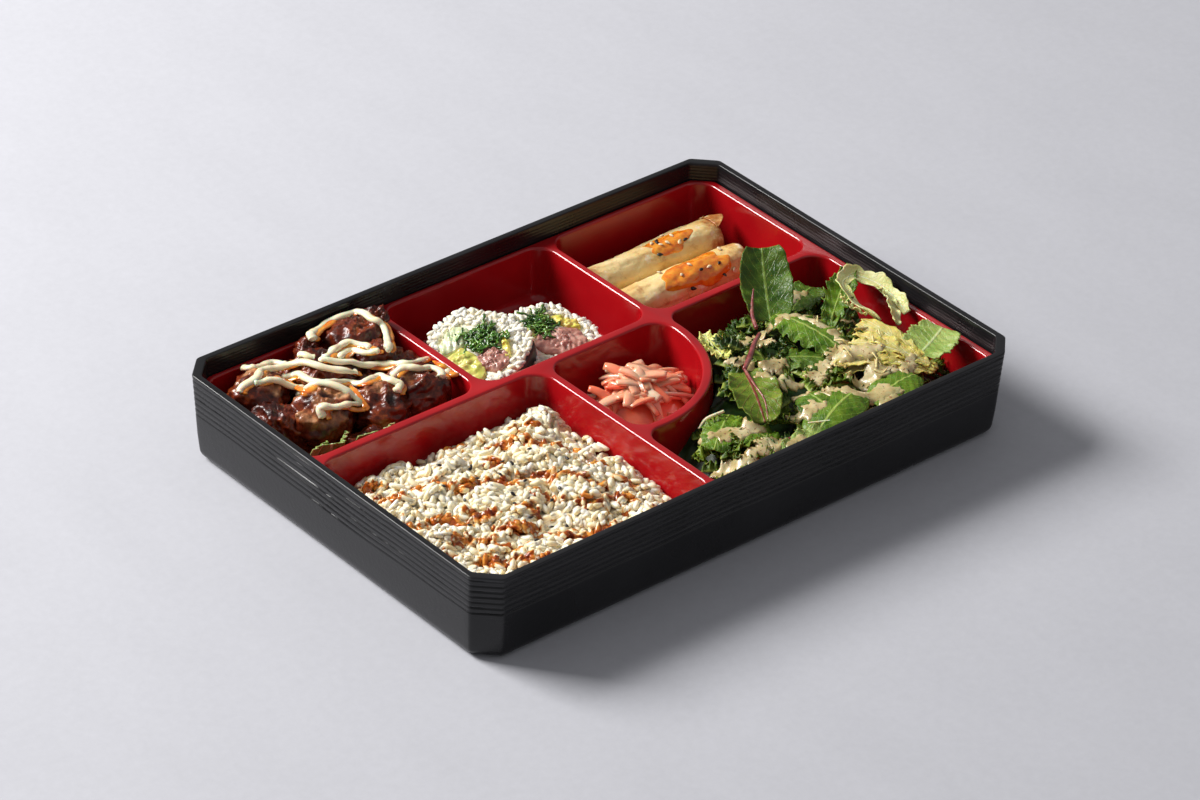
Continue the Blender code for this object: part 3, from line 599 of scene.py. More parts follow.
def makeTray(s, runs):
    # flange plate joined with drafted cups, then hollowed; every pocket edge is a quarter round
    flange = eightSides(s["halfX"], s["halfY"], s["chamfer"], 2.5, 500.0)
    plate = [levelRing(flange, s["top"] - s["skin"]), levelRing(flange, s["top"] - 0.8)]
    for angle in np.linspace(0.4, math.pi / 2, 4):
        plate.append(levelRing(moveIn(flange, 0.8 * (1 - math.cos(angle))), s["top"] - 0.8 + 0.8 * math.sin(angle)))
    tray = helperSolid("trayWork", plate)
    tools = []
    for name, outline in runs.items():
        levels = [(s["floor"] - s["wall"], 5.6), (s["floor"] + 0.6, 2.6)]
        levels += [(s["floor"] + 4.2, 1.1), (s["top"] - 1.0, -s["wall"])]
        tools.append(("UNION", helperSolid("cup_" + name, [levelRing(moveIn(outline, m), z) for z, m in levels])))
    for name, outline in runs.items():
        levels = []
        foot = 4.4
        for angle in np.linspace(0, math.pi / 2, 6):
            levels.append((s["floor"] + foot * (1 - math.cos(angle)), s["draft"] - 0.4 + foot * (1 - math.sin(angle))))
        lip = s["lip"]
        for angle in np.linspace(0, math.pi / 2, 6):
            levels.append((s["top"] - lip + lip * math.sin(angle), -lip * (1 - math.cos(angle))))
        levels.append((s["top"] + 4.0, -lip - 0.01))
        rings = [levelRing(moveIn(outline, move), height) for height, move in levels]
        tools.append(("DIFFERENCE", helperSolid("hollow_" + name, rings)))
    for operation, tool in tools:
        modifier = tray.modifiers.new(tool.name, "BOOLEAN")
        modifier.operation, modifier.solver, modifier.object = operation, "EXACT", tool
    graph = bpy.context.evaluated_depsgraph_get()
    made = bpy.data.meshes.new_from_object(tray.evaluated_get(graph))
    for helper in [tray] + [tool for _, tool in tools]:
        bpy.data.objects.remove(helper)
    paint = newMaterial(
        "redTray", (0.36, 0.004, 0.007), 0.16, Specular_IOR_Level=0.42, Coat_Weight=0.2, Coat_Roughness=0.06,
    )
    wires = Wiring(paint)
    ripple = wires.noise(34.0, 2.0, 0.4)
    haze = wires.noise(140.0, 5.0, 0.6)
    wires.finish(
        colour=wires.ramp(ripple, [(0.3, (0.30, 0.003, 0.006)), (0.7, (0.40, 0.006, 0.009))]),
        roughness=wires.grey(haze, 0.3, 0.75, 0.12, 0.26),
        normal=wires.bump(ripple, 0.0006, 0.35),
    )
    made.name = "redTray"
    made.materials.clear()
    made.materials.append(paint)
    made.polygons.foreach_set("use_smooth", np.full(len(made.polygons), True))
    made.set_sharp_from_angle(angle=math.radians(40))
    piece = bpy.data.objects.new("redTray", made)
    bpy.context.scene.collection.objects.link(piece)
    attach(piece, "root")
    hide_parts(*[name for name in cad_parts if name.startswith("tray_")])
    print("tray:", len(made.polygons), "faces")


pocketOutlines = pocketRuns(trayShape)
makeTray(trayShape, pocketOutlines)


# grains and seeds


def grainShape(length, width, bend=0.06):
    # a rice grain: five rings whose radius follows a blunt oval, slightly bent, closed at both tips
    around = 5
    along = np.array([-0.93, -0.55, 0.0, 0.55, 0.93])
    radius = width / 2 * np.sqrt(1 - np.abs(along) ** 2.6) + 0.02 * width
    path = np.column_stack([along * length / 2, np.zeros(5), bend * length * along**2])
    angle = np.arange(around) * 2 * math.pi / around
    rings = [
        centre + np.column_stack([np.zeros(around), r * np.cos(angle), r * np.sin(angle)])
        for centre, r in zip(path, radius)
    ]
    points, faces = stackRings(rings)
    points[-2] = [-length / 2, 0, bend * length]
    points[-1] = [length / 2, 0, bend * length]
    return points, faces


def seedShape(length, width, thick):
    # a sesame seed: flattened drop, pointed at one end
    along = np.array([-0.9, -0.45, 0.1, 0.6])
    wide = np.array([0.25, 0.75, 1.0, 0.62]) * width / 2
    angle = np.arange(6) * 2 * math.pi / 6
    rings = [
        np.column_stack([np.full(6, a * length / 2), w * np.cos(angle), w * thick / width * np.sin(angle)])
        for a, w in zip(along, wide)
    ]
    points, faces = stackRings(rings)
    points[-2, 0], points[-1, 0] = -length / 2, length / 2 * 0.85
    return points, faces


def turnAxes(forward, up):
    # one 3 x 3 frame per row: x along forward, z as near up as it can be
    forward = unit(forward)
    side = unit(np.cross(up, forward))
    return np.stack([forward, side, np.cross(forward, side)], 2)


def scatterShapes(shapes, pick, places, axes, sizes, values=None):
    # copies of the shapes laid at places; the value arrays give one number to every copy
    points, faces, out, start = [], [], {}, 0
    for index, (shapePoints, shapeFaces) in enumerate(shapes):
        chosen = np.flatnonzero(pick == index)
        if not len(chosen):
            continue
        scaled = shapePoints[None] * np.reshape(sizes[chosen], (len(chosen), 1, -1))
        moved = np.einsum("nij,nkj->nki", axes[chosen], scaled) + places[chosen][:, None]
        points.append(moved.reshape(-1, 3))
        count = len(shapePoints)
        for group in shapeFaces:
            copied = group[None] + (start + np.arange(len(chosen)) * count)[:, None, None]
            faces.append(copied.reshape(-1, group.shape[1]))
        for label, numbers in (values or {}).items():
            out.setdefault(label, []).append(np.repeat(numbers[chosen], count))
        start += count * len(chosen)
    return np.vstack(points), faces, {label: np.concatenate(v) for label, v in out.items()}


# rice

riceShape = {
    "left": -169.0, "right": -25.0, "front": -116.6, "back": 21.0, "crown": 29.5, "rim": 16.5,
    "grainLength": 7.1, "grainWidth": 3.35, "clump": 17.0, "clumpHigh": 7.5, "coreDepth": 5.4,
    "layers": ((3.8, -3.1), (3.9, -1.0), (4.6, 0.7)),  # spacing and lift of each
    "kinds": ((1, 1, 0.05), (0.9, 1.06, -0.05), (1.08, 0.95, 0.09), (0.72, 1.1, 0.02)),  # length, width, bend
    "shares": (0.34, 0.28, 0.26, 0.12),
}

sauceDabs = [  # x, y, half length, turn in degrees
    (-150, -15, 11, -45), (-126, -17, 13, -38), (-108, -5, 9, -50), (-72, -7, 11, -42), (-98, -37, 15, -36),
    (-79, -42, 12, -44), (-157, -42, 10, -40), (-140, -47, 14, -44), (-70, -57, 13, -38), (-64, -68, 10, -52),
    (-147, -66, 9, -60), (-137, -70, 9, -35), (-118, -73, 14, -42), (-101, -67, 11, -50), (-131, -82, 10, -40),
    (-145, -88, 11, -36), (-58, -85, 10, -48), (-100, -92, 11, -42), (-86, -98, 12, -38), (-130, -100, 10, -46),
    (-116, -32, 10, -30), (-88, -20, 9, -48), (-52, -30, 10, -40), (-160, -70, 8, -44), (-112, -108, 9, -38),
    (-72, -106, 10, -50), (-48, -50, 9, -36), (-88, -60, 10, -56), (-124, -55, 10, -40), (-62, -22, 9, -46),
    (-148, 6, 8, -40), (-92, 10, 9, -44), (-54, -6, 9, -42), (-44, -72, 8, -44), (-74, -80, 9, -40),
]
sesameDots = [
    (-116, -10), (-100, -16), (-104, -20), (-87, -25), (-84, -29), (-109, -32), (-71, -27), (-90, -47),
    (-103, -53), (-106, -58), (-73, -53), (-90, -68), (-109, -74), (-163, -87), (-122, -38), (-95, -33),
    (-80, -62), (-135, -58), (-60, -44), (-118, -90), (-92, -83), (-126, -26), (-77, -14), (-99, -79),
]


def riceTop(flat, s):
    # a mound: crown height falling near the walls, plus the tallest of many half balls, the clumps
    x, y = flat[:, 0], flat[:, 1]
    edge = lambda gap, reach: np.clip(gap / reach, 0, 1) ** 0.6
    ragged = waveField(flat, 14, 4.0, 26) + waveField(flat, 15, 2.4, 12)
    fall = edge(y - s["front"] + 14, 26) * edge(s["right"] - x - 2 + ragged, 30)
    fall = fall * edge(s["back"] - y - 4 + ragged, 32) * edge(x - s["left"] + 8, 22)
    height = s["rim"] + (s["crown"] - s["rim"]) * fall + 5.0 * np.exp(-((x + 44) ** 2 + (y - 2) ** 2) / 190)
    maker = np.random.default_rng(77)
    step = s["clump"]
    i, j = np.meshgrid(np.arange(10), np.arange(11))
    spots = np.column_stack([(s["left"] + (i + 0.5 * (j % 2)) * step).ravel(), (s["front"] + j * step * 0.84).ravel()])
    spots = spots + maker.uniform(-0.34, 0.34, spots.shape) * step
    reach, high = maker.uniform(0.62, 1.0, len(spots)) * step, maker.uniform(0.35, 1.15, len(spots)) * s["clumpHigh"]
    gap = np.linalg.norm(flat[:, None] - spots[None], axis=2) / reach
    lumps = (high * np.sqrt(np.clip(1 - gap**2, 0, 1))).max(1) - 3.2
    return height + lumps * (0.4 + 0.6 * fall) + waveField(flat, 11, 1.3, 30) + waveField(flat, 13, 0.5, 8)


def pocketInset(flat, outline):
    # distance inside a closed outline, negative outside, for x, y points
    start, end = outline, np.roll(outline, -1, axis=0)
    run = end - start
    share = np.clip(np.einsum("nmi,mi->nm", flat[:, None] - start[None], run) / (run**2).sum(1), 0, 1)
    gap = np.linalg.norm(flat[:, None] - (start + share[..., None] * run), axis=2).min(1)
    crossing = (start[:, 1] > flat[:, None, 1]) != (end[:, 1] > flat[:, None, 1])
    rise = np.where(np.abs(run[:, 1]) < 1e-9, 1e-9, run[:, 1])
    place = start[:, 0] + (flat[:, None, 1] - start[:, 1]) * run[:, 0] / rise
    inside = (crossing & (flat[:, None, 0] < place)).sum(1) % 2 == 1
    return np.where(inside, gap, -gap)


def wallRoom(height, gap):
    # how far the drafted wall stands inside the pocket's top outline at this height, and a gap more
    top, floor = trayShape["top"], trayShape["floor"]
    return np.clip((top - height) / (top - floor), 0, 1) * trayShape["draft"] + gap


def keepInside(points, outline, middle, gap, most, over):
    # points no more than over above the tray's top slide to the middle until they clear the wall, at most so far
    limit = pocketInset(points[:, :2], outline)
    low = points[:, 2] < trayShape["top"] + over
    push = np.where(low, np.clip(wallRoom(points[:, 2], gap) - limit, 0, most), 0)
    points[:, :2] += unit(np.array(middle) - points[:, :2]) * push[:, None]


def heapCore(outline, topOf, steps, middle=None):
    # a closed body: the pocket outline shrunk ring by ring over the top surface, down the wall, across the floor
    middle = outline.mean(0) if middle is None else np.array(middle, float)
    floor, wallGap = trayShape["floor"], 1.0
    rings = []
    for share in np.linspace(0.0, 1.0, steps)[1:]:
        flat = middle + (outline - middle) * share
        height = topOf(flat)
        short = np.clip(wallRoom(height, wallGap) - pocketInset(flat, outline), 0, None)
        rings.append(np.column_stack([flat + unit(middle - flat) * short[:, None], height]))
    rings.append(levelRing(moveIn(outline, trayShape["draft"] + wallGap), floor + 5.0))
    rings.append(levelRing(moveIn(outline, trayShape["draft"] + wallGap + 2.5), floor + 0.4))
    points, faces = stackRings(rings)
    return points, [group[:, ::-1] for group in faces], middle


def evenSpots(outline, spacing, seed, margin):
    # hexagonal spots, each moved up to three tenths of the spacing, at least margin inside the outline
    maker = np.random.default_rng(seed)
    rowShare, jitter = 0.866, 0.3
    low, high = outline.min(0), outline.max(0)
    nx, ny = int((high[0] - low[0]) / spacing) + 2, int((high[1] - low[1]) / (spacing * rowShare)) + 2
    i, j = np.meshgrid(np.arange(nx), np.arange(ny))
    x, y = low[0] + (i + 0.5 * (j % 2)) * spacing, low[1] + j * spacing * rowShare
    flat = np.column_stack([x.ravel(), y.ravel()])
    flat = flat + maker.uniform(-jitter, jitter, flat.shape) * spacing
    return flat[pocketInset(flat, outline) > margin]


def slopeOf(flat, topOf, step=1.5):
    # unit surface normals of the height field
    dx = topOf(flat + [step, 0]) - topOf(flat - [step, 0])
    dy = topOf(flat + [0, step]) - topOf(flat - [0, step])
    return unit(np.column_stack([-dx / (2 * step), -dy / (2 * step), np.ones(len(flat))]))


def riceMaterial(name="steamedRice"):
    # warm white by the tone of each grain, straw then amber and glossier where the sauce value rises
    made = newMaterial(
        name, (0.86, 0.80, 0.68), 0.34, Subsurface_Weight=0.55, Subsurface_Scale=0.003, Specular_IOR_Level=0.4,
    )
    made.node_tree.nodes["Principled BSDF"].inputs["Subsurface Radius"].default_value = (1.0, 0.85, 0.6)
    wires = Wiring(made)
    tone = wires.mix(0.5, wires.noise(160.0, 3.0), wires.value("tone"))
    plain = wires.ramp(tone, [(0.25, (0.95, 0.80, 0.54)), (0.5, (0.97, 0.87, 0.65)), (0.75, (0.98, 0.93, 0.79))])
    sauce = wires.value("sauce")
    soaked = wires.ramp(wires.noise(210.0, 3.0), [
        (0.36, (0.20, 0.028, 0.004)), (0.48, (0.44, 0.105, 0.012)), (0.62, (0.70, 0.29, 0.05)),
    ])
    tint = wires.mix(wires.grey(sauce, 0.02, 0.40), plain, (0.88, 0.68, 0.34))
    wires.finish(
        colour=wires.mix(wires.grey(sauce, 0.26, 0.48), tint, soaked),
        roughness=wires.grey(sauce, 0.2, 0.6, 0.36, 0.10),
        normal=wires.bump(wires.noise(900.0, 2.0), 0.00012, 0.4),
    )
    return made


def sauceAmount(flat, dabs, seed):
    # how much sauce lies at each spot: ragged ovals with their edges broken up by noise
    total = np.zeros(len(flat))
    for x, y, length, turn in dabs:
        angle = math.radians(turn)
        along = (flat[:, 0] - x) * math.cos(angle) + (flat[:, 1] - y) * math.sin(angle)
        across = -(flat[:, 0] - x) * math.sin(angle) + (flat[:, 1] - y) * math.cos(angle)
        across = across + 1.6 * np.sin(along / length * 3 + x)
        total = np.maximum(total, 1.25 - np.sqrt((along / length) ** 2 + (across / (length * 0.33)) ** 2))
    return np.clip(total + waveField(flat, seed, 0.24, 6.5) + waveField(flat, seed + 1, 0.2, 3.2), 0, 1)


def makeRice(s, outline):
    # a core mound carries about five thousand separate grains laid along its slope, some standing
    maker = np.random.default_rng(5)
    topOf = lambda flat: riceTop(flat, s)
    points, faces, middle = heapCore(outline, lambda f: topOf(f) - s["coreDepth"], 72)
    coreValues = {"sauce": sauceAmount(points[:, :2], sauceDabs, 30) * 0.6, "tone": np.full(len(points), 0.6)}
    makePiece("riceMound", points, faces, riceMaterial("packedRice"), ["rice"], coreValues)
    flats, heights = [], []
    for layer, (spacing, lift) in enumerate(s["layers"]):
        flat = evenSpots(outline, spacing, 40 + layer, 3.4)
        if layer == 2:
            flat = flat[waveField(flat, 47, 1.0, 11) > -0.1]
        flats.append(flat)
        heights.append(topOf(flat) + lift + maker.uniform(-0.9, 0.9, len(flat)))
    flat, height = np.vstack(flats), np.concatenate(heights)
    normal = slopeOf(flat, topOf)
    count = len(flat)
    heading = maker.uniform(0, 2 * math.pi, count)
    tilt = maker.normal(0, 0.3, count)
    forward = np.column_stack([np.cos(heading), np.sin(heading), np.tan(np.clip(tilt, -1.1, 1.1))])
    forward -= normal * np.sum((forward - np.array([0, 0, 1]) * forward[:, 2:]) * normal, axis=1)[:, None]
    axes = turnAxes(forward, normal + maker.normal(0, 0.3, (count, 3)))
    shapes = [
        grainShape(s["grainLength"] * long, s["grainWidth"] * wide, bend) for long, wide, bend in s["kinds"]
    ]
    pick = maker.choice(4, count, p=s["shares"])
    places = np.column_stack([flat, height])
    tone = maker.uniform(0, 1, count)
    grains = scatterShapes(shapes, pick, places, axes, maker.uniform(0.88, 1.12, (count, 1)), {"tone": tone})
    sauce = sauceAmount(grains[0][:, :2], sauceDabs, 30)
    deep = topOf(grains[0][:, :2]) - grains[0][:, 2]
    grains[2]["sauce"] = np.clip(sauce * np.clip(1.25 - 0.16 * deep, 0, 1), 0, 1)
    keepInside(grains[0], outline, middle, 0.3, 4, 99)
    makePiece("riceGrains", grains[0], grains[1], riceMaterial(), values=grains[2])
    makeRiceSauce(grains[0])
    print("rice:", count, "grains,", sum(len(f) for f in grains[1]), "faces")
    return topOf


def seedMaterial(name, dark):
    # near black or pale sesame skin, mottled a little either way of its colour
    colour = (0.012, 0.010, 0.010) if dark else (0.72, 0.58, 0.36)
    made = newMaterial(name, colour, 0.38 if dark else 0.5)
    wires = Wiring(made)
    tone = wires.noise(700.0, 2.0)
    low = tuple(c * 0.75 for c in colour)
    high = tuple(min(1, c * 1.3) for c in colour)
    wires.finish(colour=wires.ramp(tone, [(0.35, low), (0.65, high)]), normal=wires.bump(tone, 0.0001, 0.4))
    return made


def scatterSeeds(name, places, normals, dark, seed):
    # seeds lying flat on the food, pointing every way
    maker = np.random.default_rng(seed)
    count = len(places)
    axes = turnAxes(maker.normal(size=(count, 3)) * [1, 1, 0.15], normals)
    sizes = maker.uniform(0.85, 1.1, (count, 1))
    made = scatterShapes([seedShape(3.7, 2.1, 1.1)], np.zeros(count, int), places, axes, sizes)
    makePiece(name, made[0], made[1], seedMaterial(name + "Skin", dark))


def drapedPatches(lines, topMap, seed, widen, layer, ceiling, rows=9, columns=36):
    # a ribbon round each line, laid on the height map: thick in the middle, thin and ragged at its rim
    sunk, thickness, rough = layer
    parts = []
    share, lateral = np.linspace(0, 1, columns), np.linspace(-1, 1, rows)
    for index, line in enumerate(lines):
        path = smoothPath(np.array([(x, y, 0) for x, y, _ in line], float), columns)[:, :2]
        width = np.interp(share, np.linspace(0, 1, len(line)), [w for _, _, w in line]) * widen
        width = width * np.sin(math.pi * (0.04 + 0.92 * share)) ** 0.6
        run = unit(np.gradient(path, axis=0))
        side = np.column_stack([-run[:, 1], run[:, 0]])
        rims = []
        for number in (0, 1):
            spots = np.column_stack([share * 40, np.full(columns, number)])
            broad = waveField(spots, seed + index + 100 * number, 0.36, 10)
            rims.append(1 + broad + waveField(spots, seed + index + 1, 0.2, 4.0))
        reach = np.where(lateral[:, None] > 0, rims[0][None], rims[1][None]) * width[None]
        flat = path[None] + side[None] * (lateral[:, None] * reach)[..., None]
        flat = flat + 0.5 * np.stack([np.sin(flat[..., 1] * 1.1 + index), np.sin(flat[..., 0] * 1.2)], -1)
        ends = np.clip(np.minimum(share, 1 - share) * 9, 0, 1)
        thick = np.sqrt(np.clip(1 - lateral[:, None] ** 2, 0, 1)) * ends[None] ** 0.5
        ground = topMap.heightAt(flat.reshape(-1, 2)).reshape(rows, columns)
        lump = waveField(flat.reshape(-1, 2), seed + 20 + index, rough, 5).reshape(rows, columns)
        high = np.minimum(ground - sunk + (thickness + lump) * thick, ceiling)
        top = np.dstack([flat, high]).reshape(-1, 3)
        low = np.dstack([flat, ground - sunk - 1.1]).reshape(-1, 3)
        parts.append((np.vstack([top, low]), sheetFaces(rows, columns)))
    return parts


def makeRiceSauce(grainPoints):
    # two short glossy streaks over each patch of soaked grains, hugging them closely
    maker = np.random.default_rng(61)
    topMap = TopMap([grainPoints], (-175, -20, -122, 28), 0.9, 12.0, 1)
    lines = []
    for x, y, length, turn in sauceDabs:
        angle = math.radians(turn + maker.normal(0, 9))
        way, side = np.array([math.cos(angle), math.sin(angle)]), np.array([-math.sin(angle), math.cos(angle)])
        for _ in range(2):
            centre = np.array([x, y]) + way * maker.normal(0, length * 0.35) + side * maker.normal(0, 2.2)
            half, bend = length * maker.uniform(0.3, 0.62), maker.normal(0, 1.2)
            widths = ((-1, 1.1), (0, maker.uniform(1.5, 2.7)), (1, 0.9))
            lines.append([(*(centre + way * half * t + side * bend * (1 - t * t)), w) for t, w in widths])
    patches = drapedPatches(lines, topMap, 400, 1.0, (0.35, 0.9, 0.1), 60.0, 7, 26)
    paint = sauceMaterial("soySyrup", ((0.17, 0.020, 0.003), (0.40, 0.085, 0.008), (0.68, 0.25, 0.03)), 0.08)
    makeJoined("riceSauce", patches, paint)


riceSurface = makeRice(riceShape, pocketOutlines["rice"])
dots = np.array(sesameDots, float)
scatterSeeds(
    "riceSesame", np.column_stack([dots, riceSurface(dots) + 2.6]), slopeOf(dots, riceSurface), True, 3,
)

# leaves: thin closed sheets with veins


def sheetPart(grid, thickness, extra=None):
    # a grid of points made into a closed sheet: moved half a thickness each way, rims joined
    rows, columns = grid.shape[:2]
    du, dv = np.gradient(grid, axis=0), np.gradient(grid, axis=1)
    normal = unit(np.cross(du, dv))
    top = (grid + normal * thickness / 2).reshape(-1, 3)
    low = (grid - normal * thickness / 2).reshape(-1, 3)
    across, along = np.meshgrid(np.linspace(-1, 1, rows), np.linspace(0, 1, columns), indexing="ij")
    values = {"across": np.tile(across.ravel(), 2), "along": np.tile(along.ravel(), 2)}
    for label, number in (extra or {}).items():
        values[label] = np.full(2 * rows * columns, float(number))
    return np.vstack([top, low]), sheetFaces(rows, columns), values


def leafMaterial(name, deep, bright, vein, veins=7.0, slant=1.6, shine=0.38, pale=None):
    # green mottled between deep and bright; midrib and side veins from the leaf's own across and along
    made = newMaterial(name, deep, shine, Subsurface_Weight=0.25, Subsurface_Scale=0.002, Specular_IOR_Level=0.3)
    wires = Wiring(made)
    across, along = wires.value("across"), wires.value("along")
    aside = wires.maths("ABSOLUTE", across)
    mottle = wires.noise(95.0, 4.0)
    body = wires.ramp(mottle, [(0.32, deep), (0.55, tuple((a + b) / 2 for a, b in zip(deep, bright))), (0.74, bright)])
    if pale:
        body = wires.mix(wires.grey(aside, 0.55, 1.0, 0.0, 0.75), body, pale)
    drift = wires.maths("MULTIPLY", wires.noise(60.0, 2.0), 0.25)
    bent = wires.maths("ADD", wires.maths("MULTIPLY", aside, slant), drift)
    rise = wires.maths("SUBTRACT", along, wires.maths("MULTIPLY", bent, 0.25))
    wave = wires.maths("FRACT", wires.maths("MULTIPLY", rise, veins))
    away = wires.maths("ABSOLUTE", wires.maths("SUBTRACT", wave, 0.5))
    sideVein = wires.grey(away, 0.0, 0.07, 1.0, 0.0)
    midVein = wires.grey(aside, 0.025, 0.075, 1.0, 0.0)
    net = wires.cellEdges(420.0)
    lines = wires.maths("MAXIMUM", midVein, wires.maths("MULTIPLY", sideVein, 0.55))
    colour = wires.mix(lines, body, vein)
    raised = wires.mix(0.3, lines, wires.grey(net, 0.0, 0.12))
    wires.finish(
        colour=colour, roughness=wires.grey(mottle, 0.3, 0.7, shine - 0.06, shine + 0.14),
        normal=wires.bump(raised, 0.0007, 0.6),
    )
    return made


def bladePart(leaf, rows=31, columns=46, thickness=0.55, seed=1):
    # half width follows a sine of the length; the blade sags, cups, ruffles at its rim and has a toothed edge
    base, tip = np.array(leaf["base"], float), np.array(leaf["tip"], float)
    t = np.linspace(0, 1, columns)
    lateral = np.linspace(-1, 1, rows)
    t, lateral = np.meshgrid(t, lateral)
    axis = tip - base
    side = unit(np.cross(axis, (0, 0, 1)))
    up = np.cross(side, unit(axis))
    half = leaf["width"] / 2 * np.clip(np.sin(math.pi * (0.05 + 0.90 * t)), 0.05, 1) ** leaf["power"]
    edge, ruffle, waves = np.abs(lateral), leaf["ruffle"], leaf["waves"]
    saw = np.abs(np.mod(t * leaf.get("teeth", 9) + 0.2 * lateral, 1) - 0.5) * 2 - 0.5
    half = half * (1 + leaf.get("tooth", 0.0) * edge**2 * saw)
    curl = ruffle * edge**2.2 * np.sin(t * waves * 2 * math.pi + seed + 1.3 * np.sign(lateral))
    curl = curl + 0.35 * ruffle * edge**1.5 * np.sin(t * waves * 5.3 * math.pi + 2 * seed)
    bulge = leaf.get("pucker", 0.25) * np.sin(t * 40 + 3 * lateral) * np.sin(lateral * 9 + seed)
    height = leaf["cup"] * lateral**2 * half / (leaf["width"] / 2) + curl + bulge - leaf["sag"] * 4 * t * (1 - t)
    sway = leaf.get("bend", 0.0) * 4 * t * (1 - t)
    points = base + axis * t[..., None] + side * (lateral * half + sway)[..., None] + up * height[..., None]
    return sheetPart(points, thickness)


def frillPart(centre, heading, length, width, waves, depth, seed, rise, shade):
    # a torn frilly leaf: a bent rib with a sheet whose outer edge waves more the further out it is
    rows, columns = 6, 27
    maker = np.random.default_rng(seed)
    t, lateral = np.meshgrid(np.linspace(0, 1, columns), np.linspace(0, 1, rows))
    forward = np.array([math.cos(heading), math.sin(heading), 0.0])
    side = np.array([-math.sin(heading), math.cos(heading), 0.0])
    lean = maker.uniform(-0.7, 0.7)
    out = unit(side * math.cos(lean) + np.array([0, 0, 1.0]) * abs(math.sin(lean)) + 0.2)
    up = np.cross(forward, out)
    arc = maker.uniform(-0.5, 0.5) * length
    edge = lateral**1.5
    phase = maker.uniform(0, 6.28)
    fine = 0.5 * np.sin(t * waves * 5.1 * math.pi + 2 * phase)
    ripple = depth * edge * (np.sin(t * waves * 2 * math.pi + phase) + fine)
    torn = 1 + 0.22 * np.sin(t * waves * 7.0 * math.pi + phase) * edge
    reach = width * lateral * np.sin(math.pi * (0.08 + 0.84 * t)) ** 0.5 * torn
    along = (t - 0.5) * length + 0.5 * depth * edge * np.cos(t * waves * 2 * math.pi + phase)
    points = np.array(centre) + forward * along[..., None] + out * reach[..., None] + up * ripple[..., None]
    arch = rise * length * (0.25 - (t - 0.5) ** 2)
    points += side * (arc * (t - 0.5) ** 2)[..., None] + np.array([0, 0, 1.0]) * arch[..., None]
    return sheetPart(points, 0.42, {"shade": shade})


def frillMaterial(name, dark, light, tip):
    # dark to light by the shade value, mottled, with the outer edge turning to the tip colour
    made = newMaterial(name, dark, 0.4, Subsurface_Weight=0.15, Subsurface_Scale=0.002, Specular_IOR_Level=0.3)
    wires = Wiring(made)
    mottle = wires.noise(130.0, 4.0)
    shade = wires.value("shade")
    across = wires.value("across")
    body = wires.mix(shade, dark, light)
    spots = wires.ramp(mottle, [(0.3, (0.45, 0.5, 0.45)), (0.6, (1.0, 1.0, 1.0)), (0.8, (1.35, 1.3, 1.2))])
    colour = wires.mix(0.8, body, spots, "MULTIPLY")
    colour = wires.mix(wires.grey(across, -0.2, -1.0, 0.0, 0.7), colour, tip)
    wires.finish(colour=colour, normal=wires.bump(wires.noise(360.0, 3.0), 0.0005, 0.5))
    return made


# glazed chicken

chickenLumps = {  # name: centre, half sizes, turn in degrees
    "chicken_back": ((-82, 103.5, 41), (17, 12, 9), 8), "chicken_middle_right": ((-83, 82, 37), (13, 10, 10.5), -20),
    "chicken_middle": ((-115, 89, 36.5), (18, 12, 12), -25), "chicken_left_back": ((-150, 96, 35), (16.5, 13, 12), 35),
    "chicken_left": ((-156, 71, 31), (11, 13, 12), 60), "chicken_front_left": ((-134.5, 62.5, 35), (17, 15, 13.5), 20),
    "chicken_front_middle": ((-105, 52, 32), (14.5, 17, 13), -30),
    "chicken_front_right": ((-79.5, 54, 33), (14.5, 16, 13.5), 10),
    "chicken_char": ((-64.5, 107.5, 46.5), (4.4, 5.2, 3.6), 30),
    "chicken_back_small": ((-110, 108, 43.5), (6.5, 5, 5), 10),
    "chicken_filler": ((-128, 108, 28), (13, 9, 11), 15), "chicken_filler_two": ((-98, 72, 29), (13, 10, 11), 40),
    "chicken_filler_three": ((-66, 74, 27), (6, 12, 10), 5), "chicken_filler_four": ((-126, 38, 25), (15, 7, 9), -10),
}


def rumple(points, normals, seed, half):
    # meat surface: broad lobes, folds where wave crests pinch together, then small curls and pits
    broad = waveField(points, seed, 0.10 * half, half * 2.0, 9)
    folds = 1 - np.abs(waveField(points, seed + 1, 1.0, half * 1.15, 9))
    creases = 1 - np.abs(waveField(points, seed + 2, 1.0, half * 0.6, 9))
    small = waveField(points, seed + 3, 0.28, 3.2, 9) + waveField(points, seed + 4, 0.2, 1.7, 9)
    return points + normals * (broad + 1.9 * (folds - 0.5) + 1.25 * np.clip(creases, -1, 1) + small)[:, None]


def ballGrid(rows, columns):
    # unit directions over a ball, row 0 and the last row just off the poles
    polar = np.linspace(0.02, math.pi - 0.02, rows)
    turn = np.arange(columns) * 2 * math.pi / columns
    polar, turn = np.meshgrid(polar, turn, indexing="ij")
    return np.stack([np.sin(polar) * np.cos(turn), np.sin(polar) * np.sin(turn), -np.cos(polar)], 2).reshape(-1, 3)


def lumpPart(centre, half, turn, seed, rows, columns):
    # a rounded block: directions pushed out to a superellipse of these half sizes, turned, then rumpled
    ways = ballGrid(rows, columns)
    half, power = np.array(half, float), 2.5
    reach = (np.abs(ways / half) ** power).sum(1) ** (-1 / power)
    local = ways * reach[:, None]
    angle = math.radians(turn)
    spin = np.array([[math.cos(angle), -math.sin(angle), 0], [math.sin(angle), math.cos(angle), 0], [0, 0, 1]])
    normals = unit(local / half**2) @ spin.T
    points = rumple(local @ spin.T + centre, normals, seed, float(half.mean()))
    return stackRings(list(points.reshape(rows, columns, 3)))


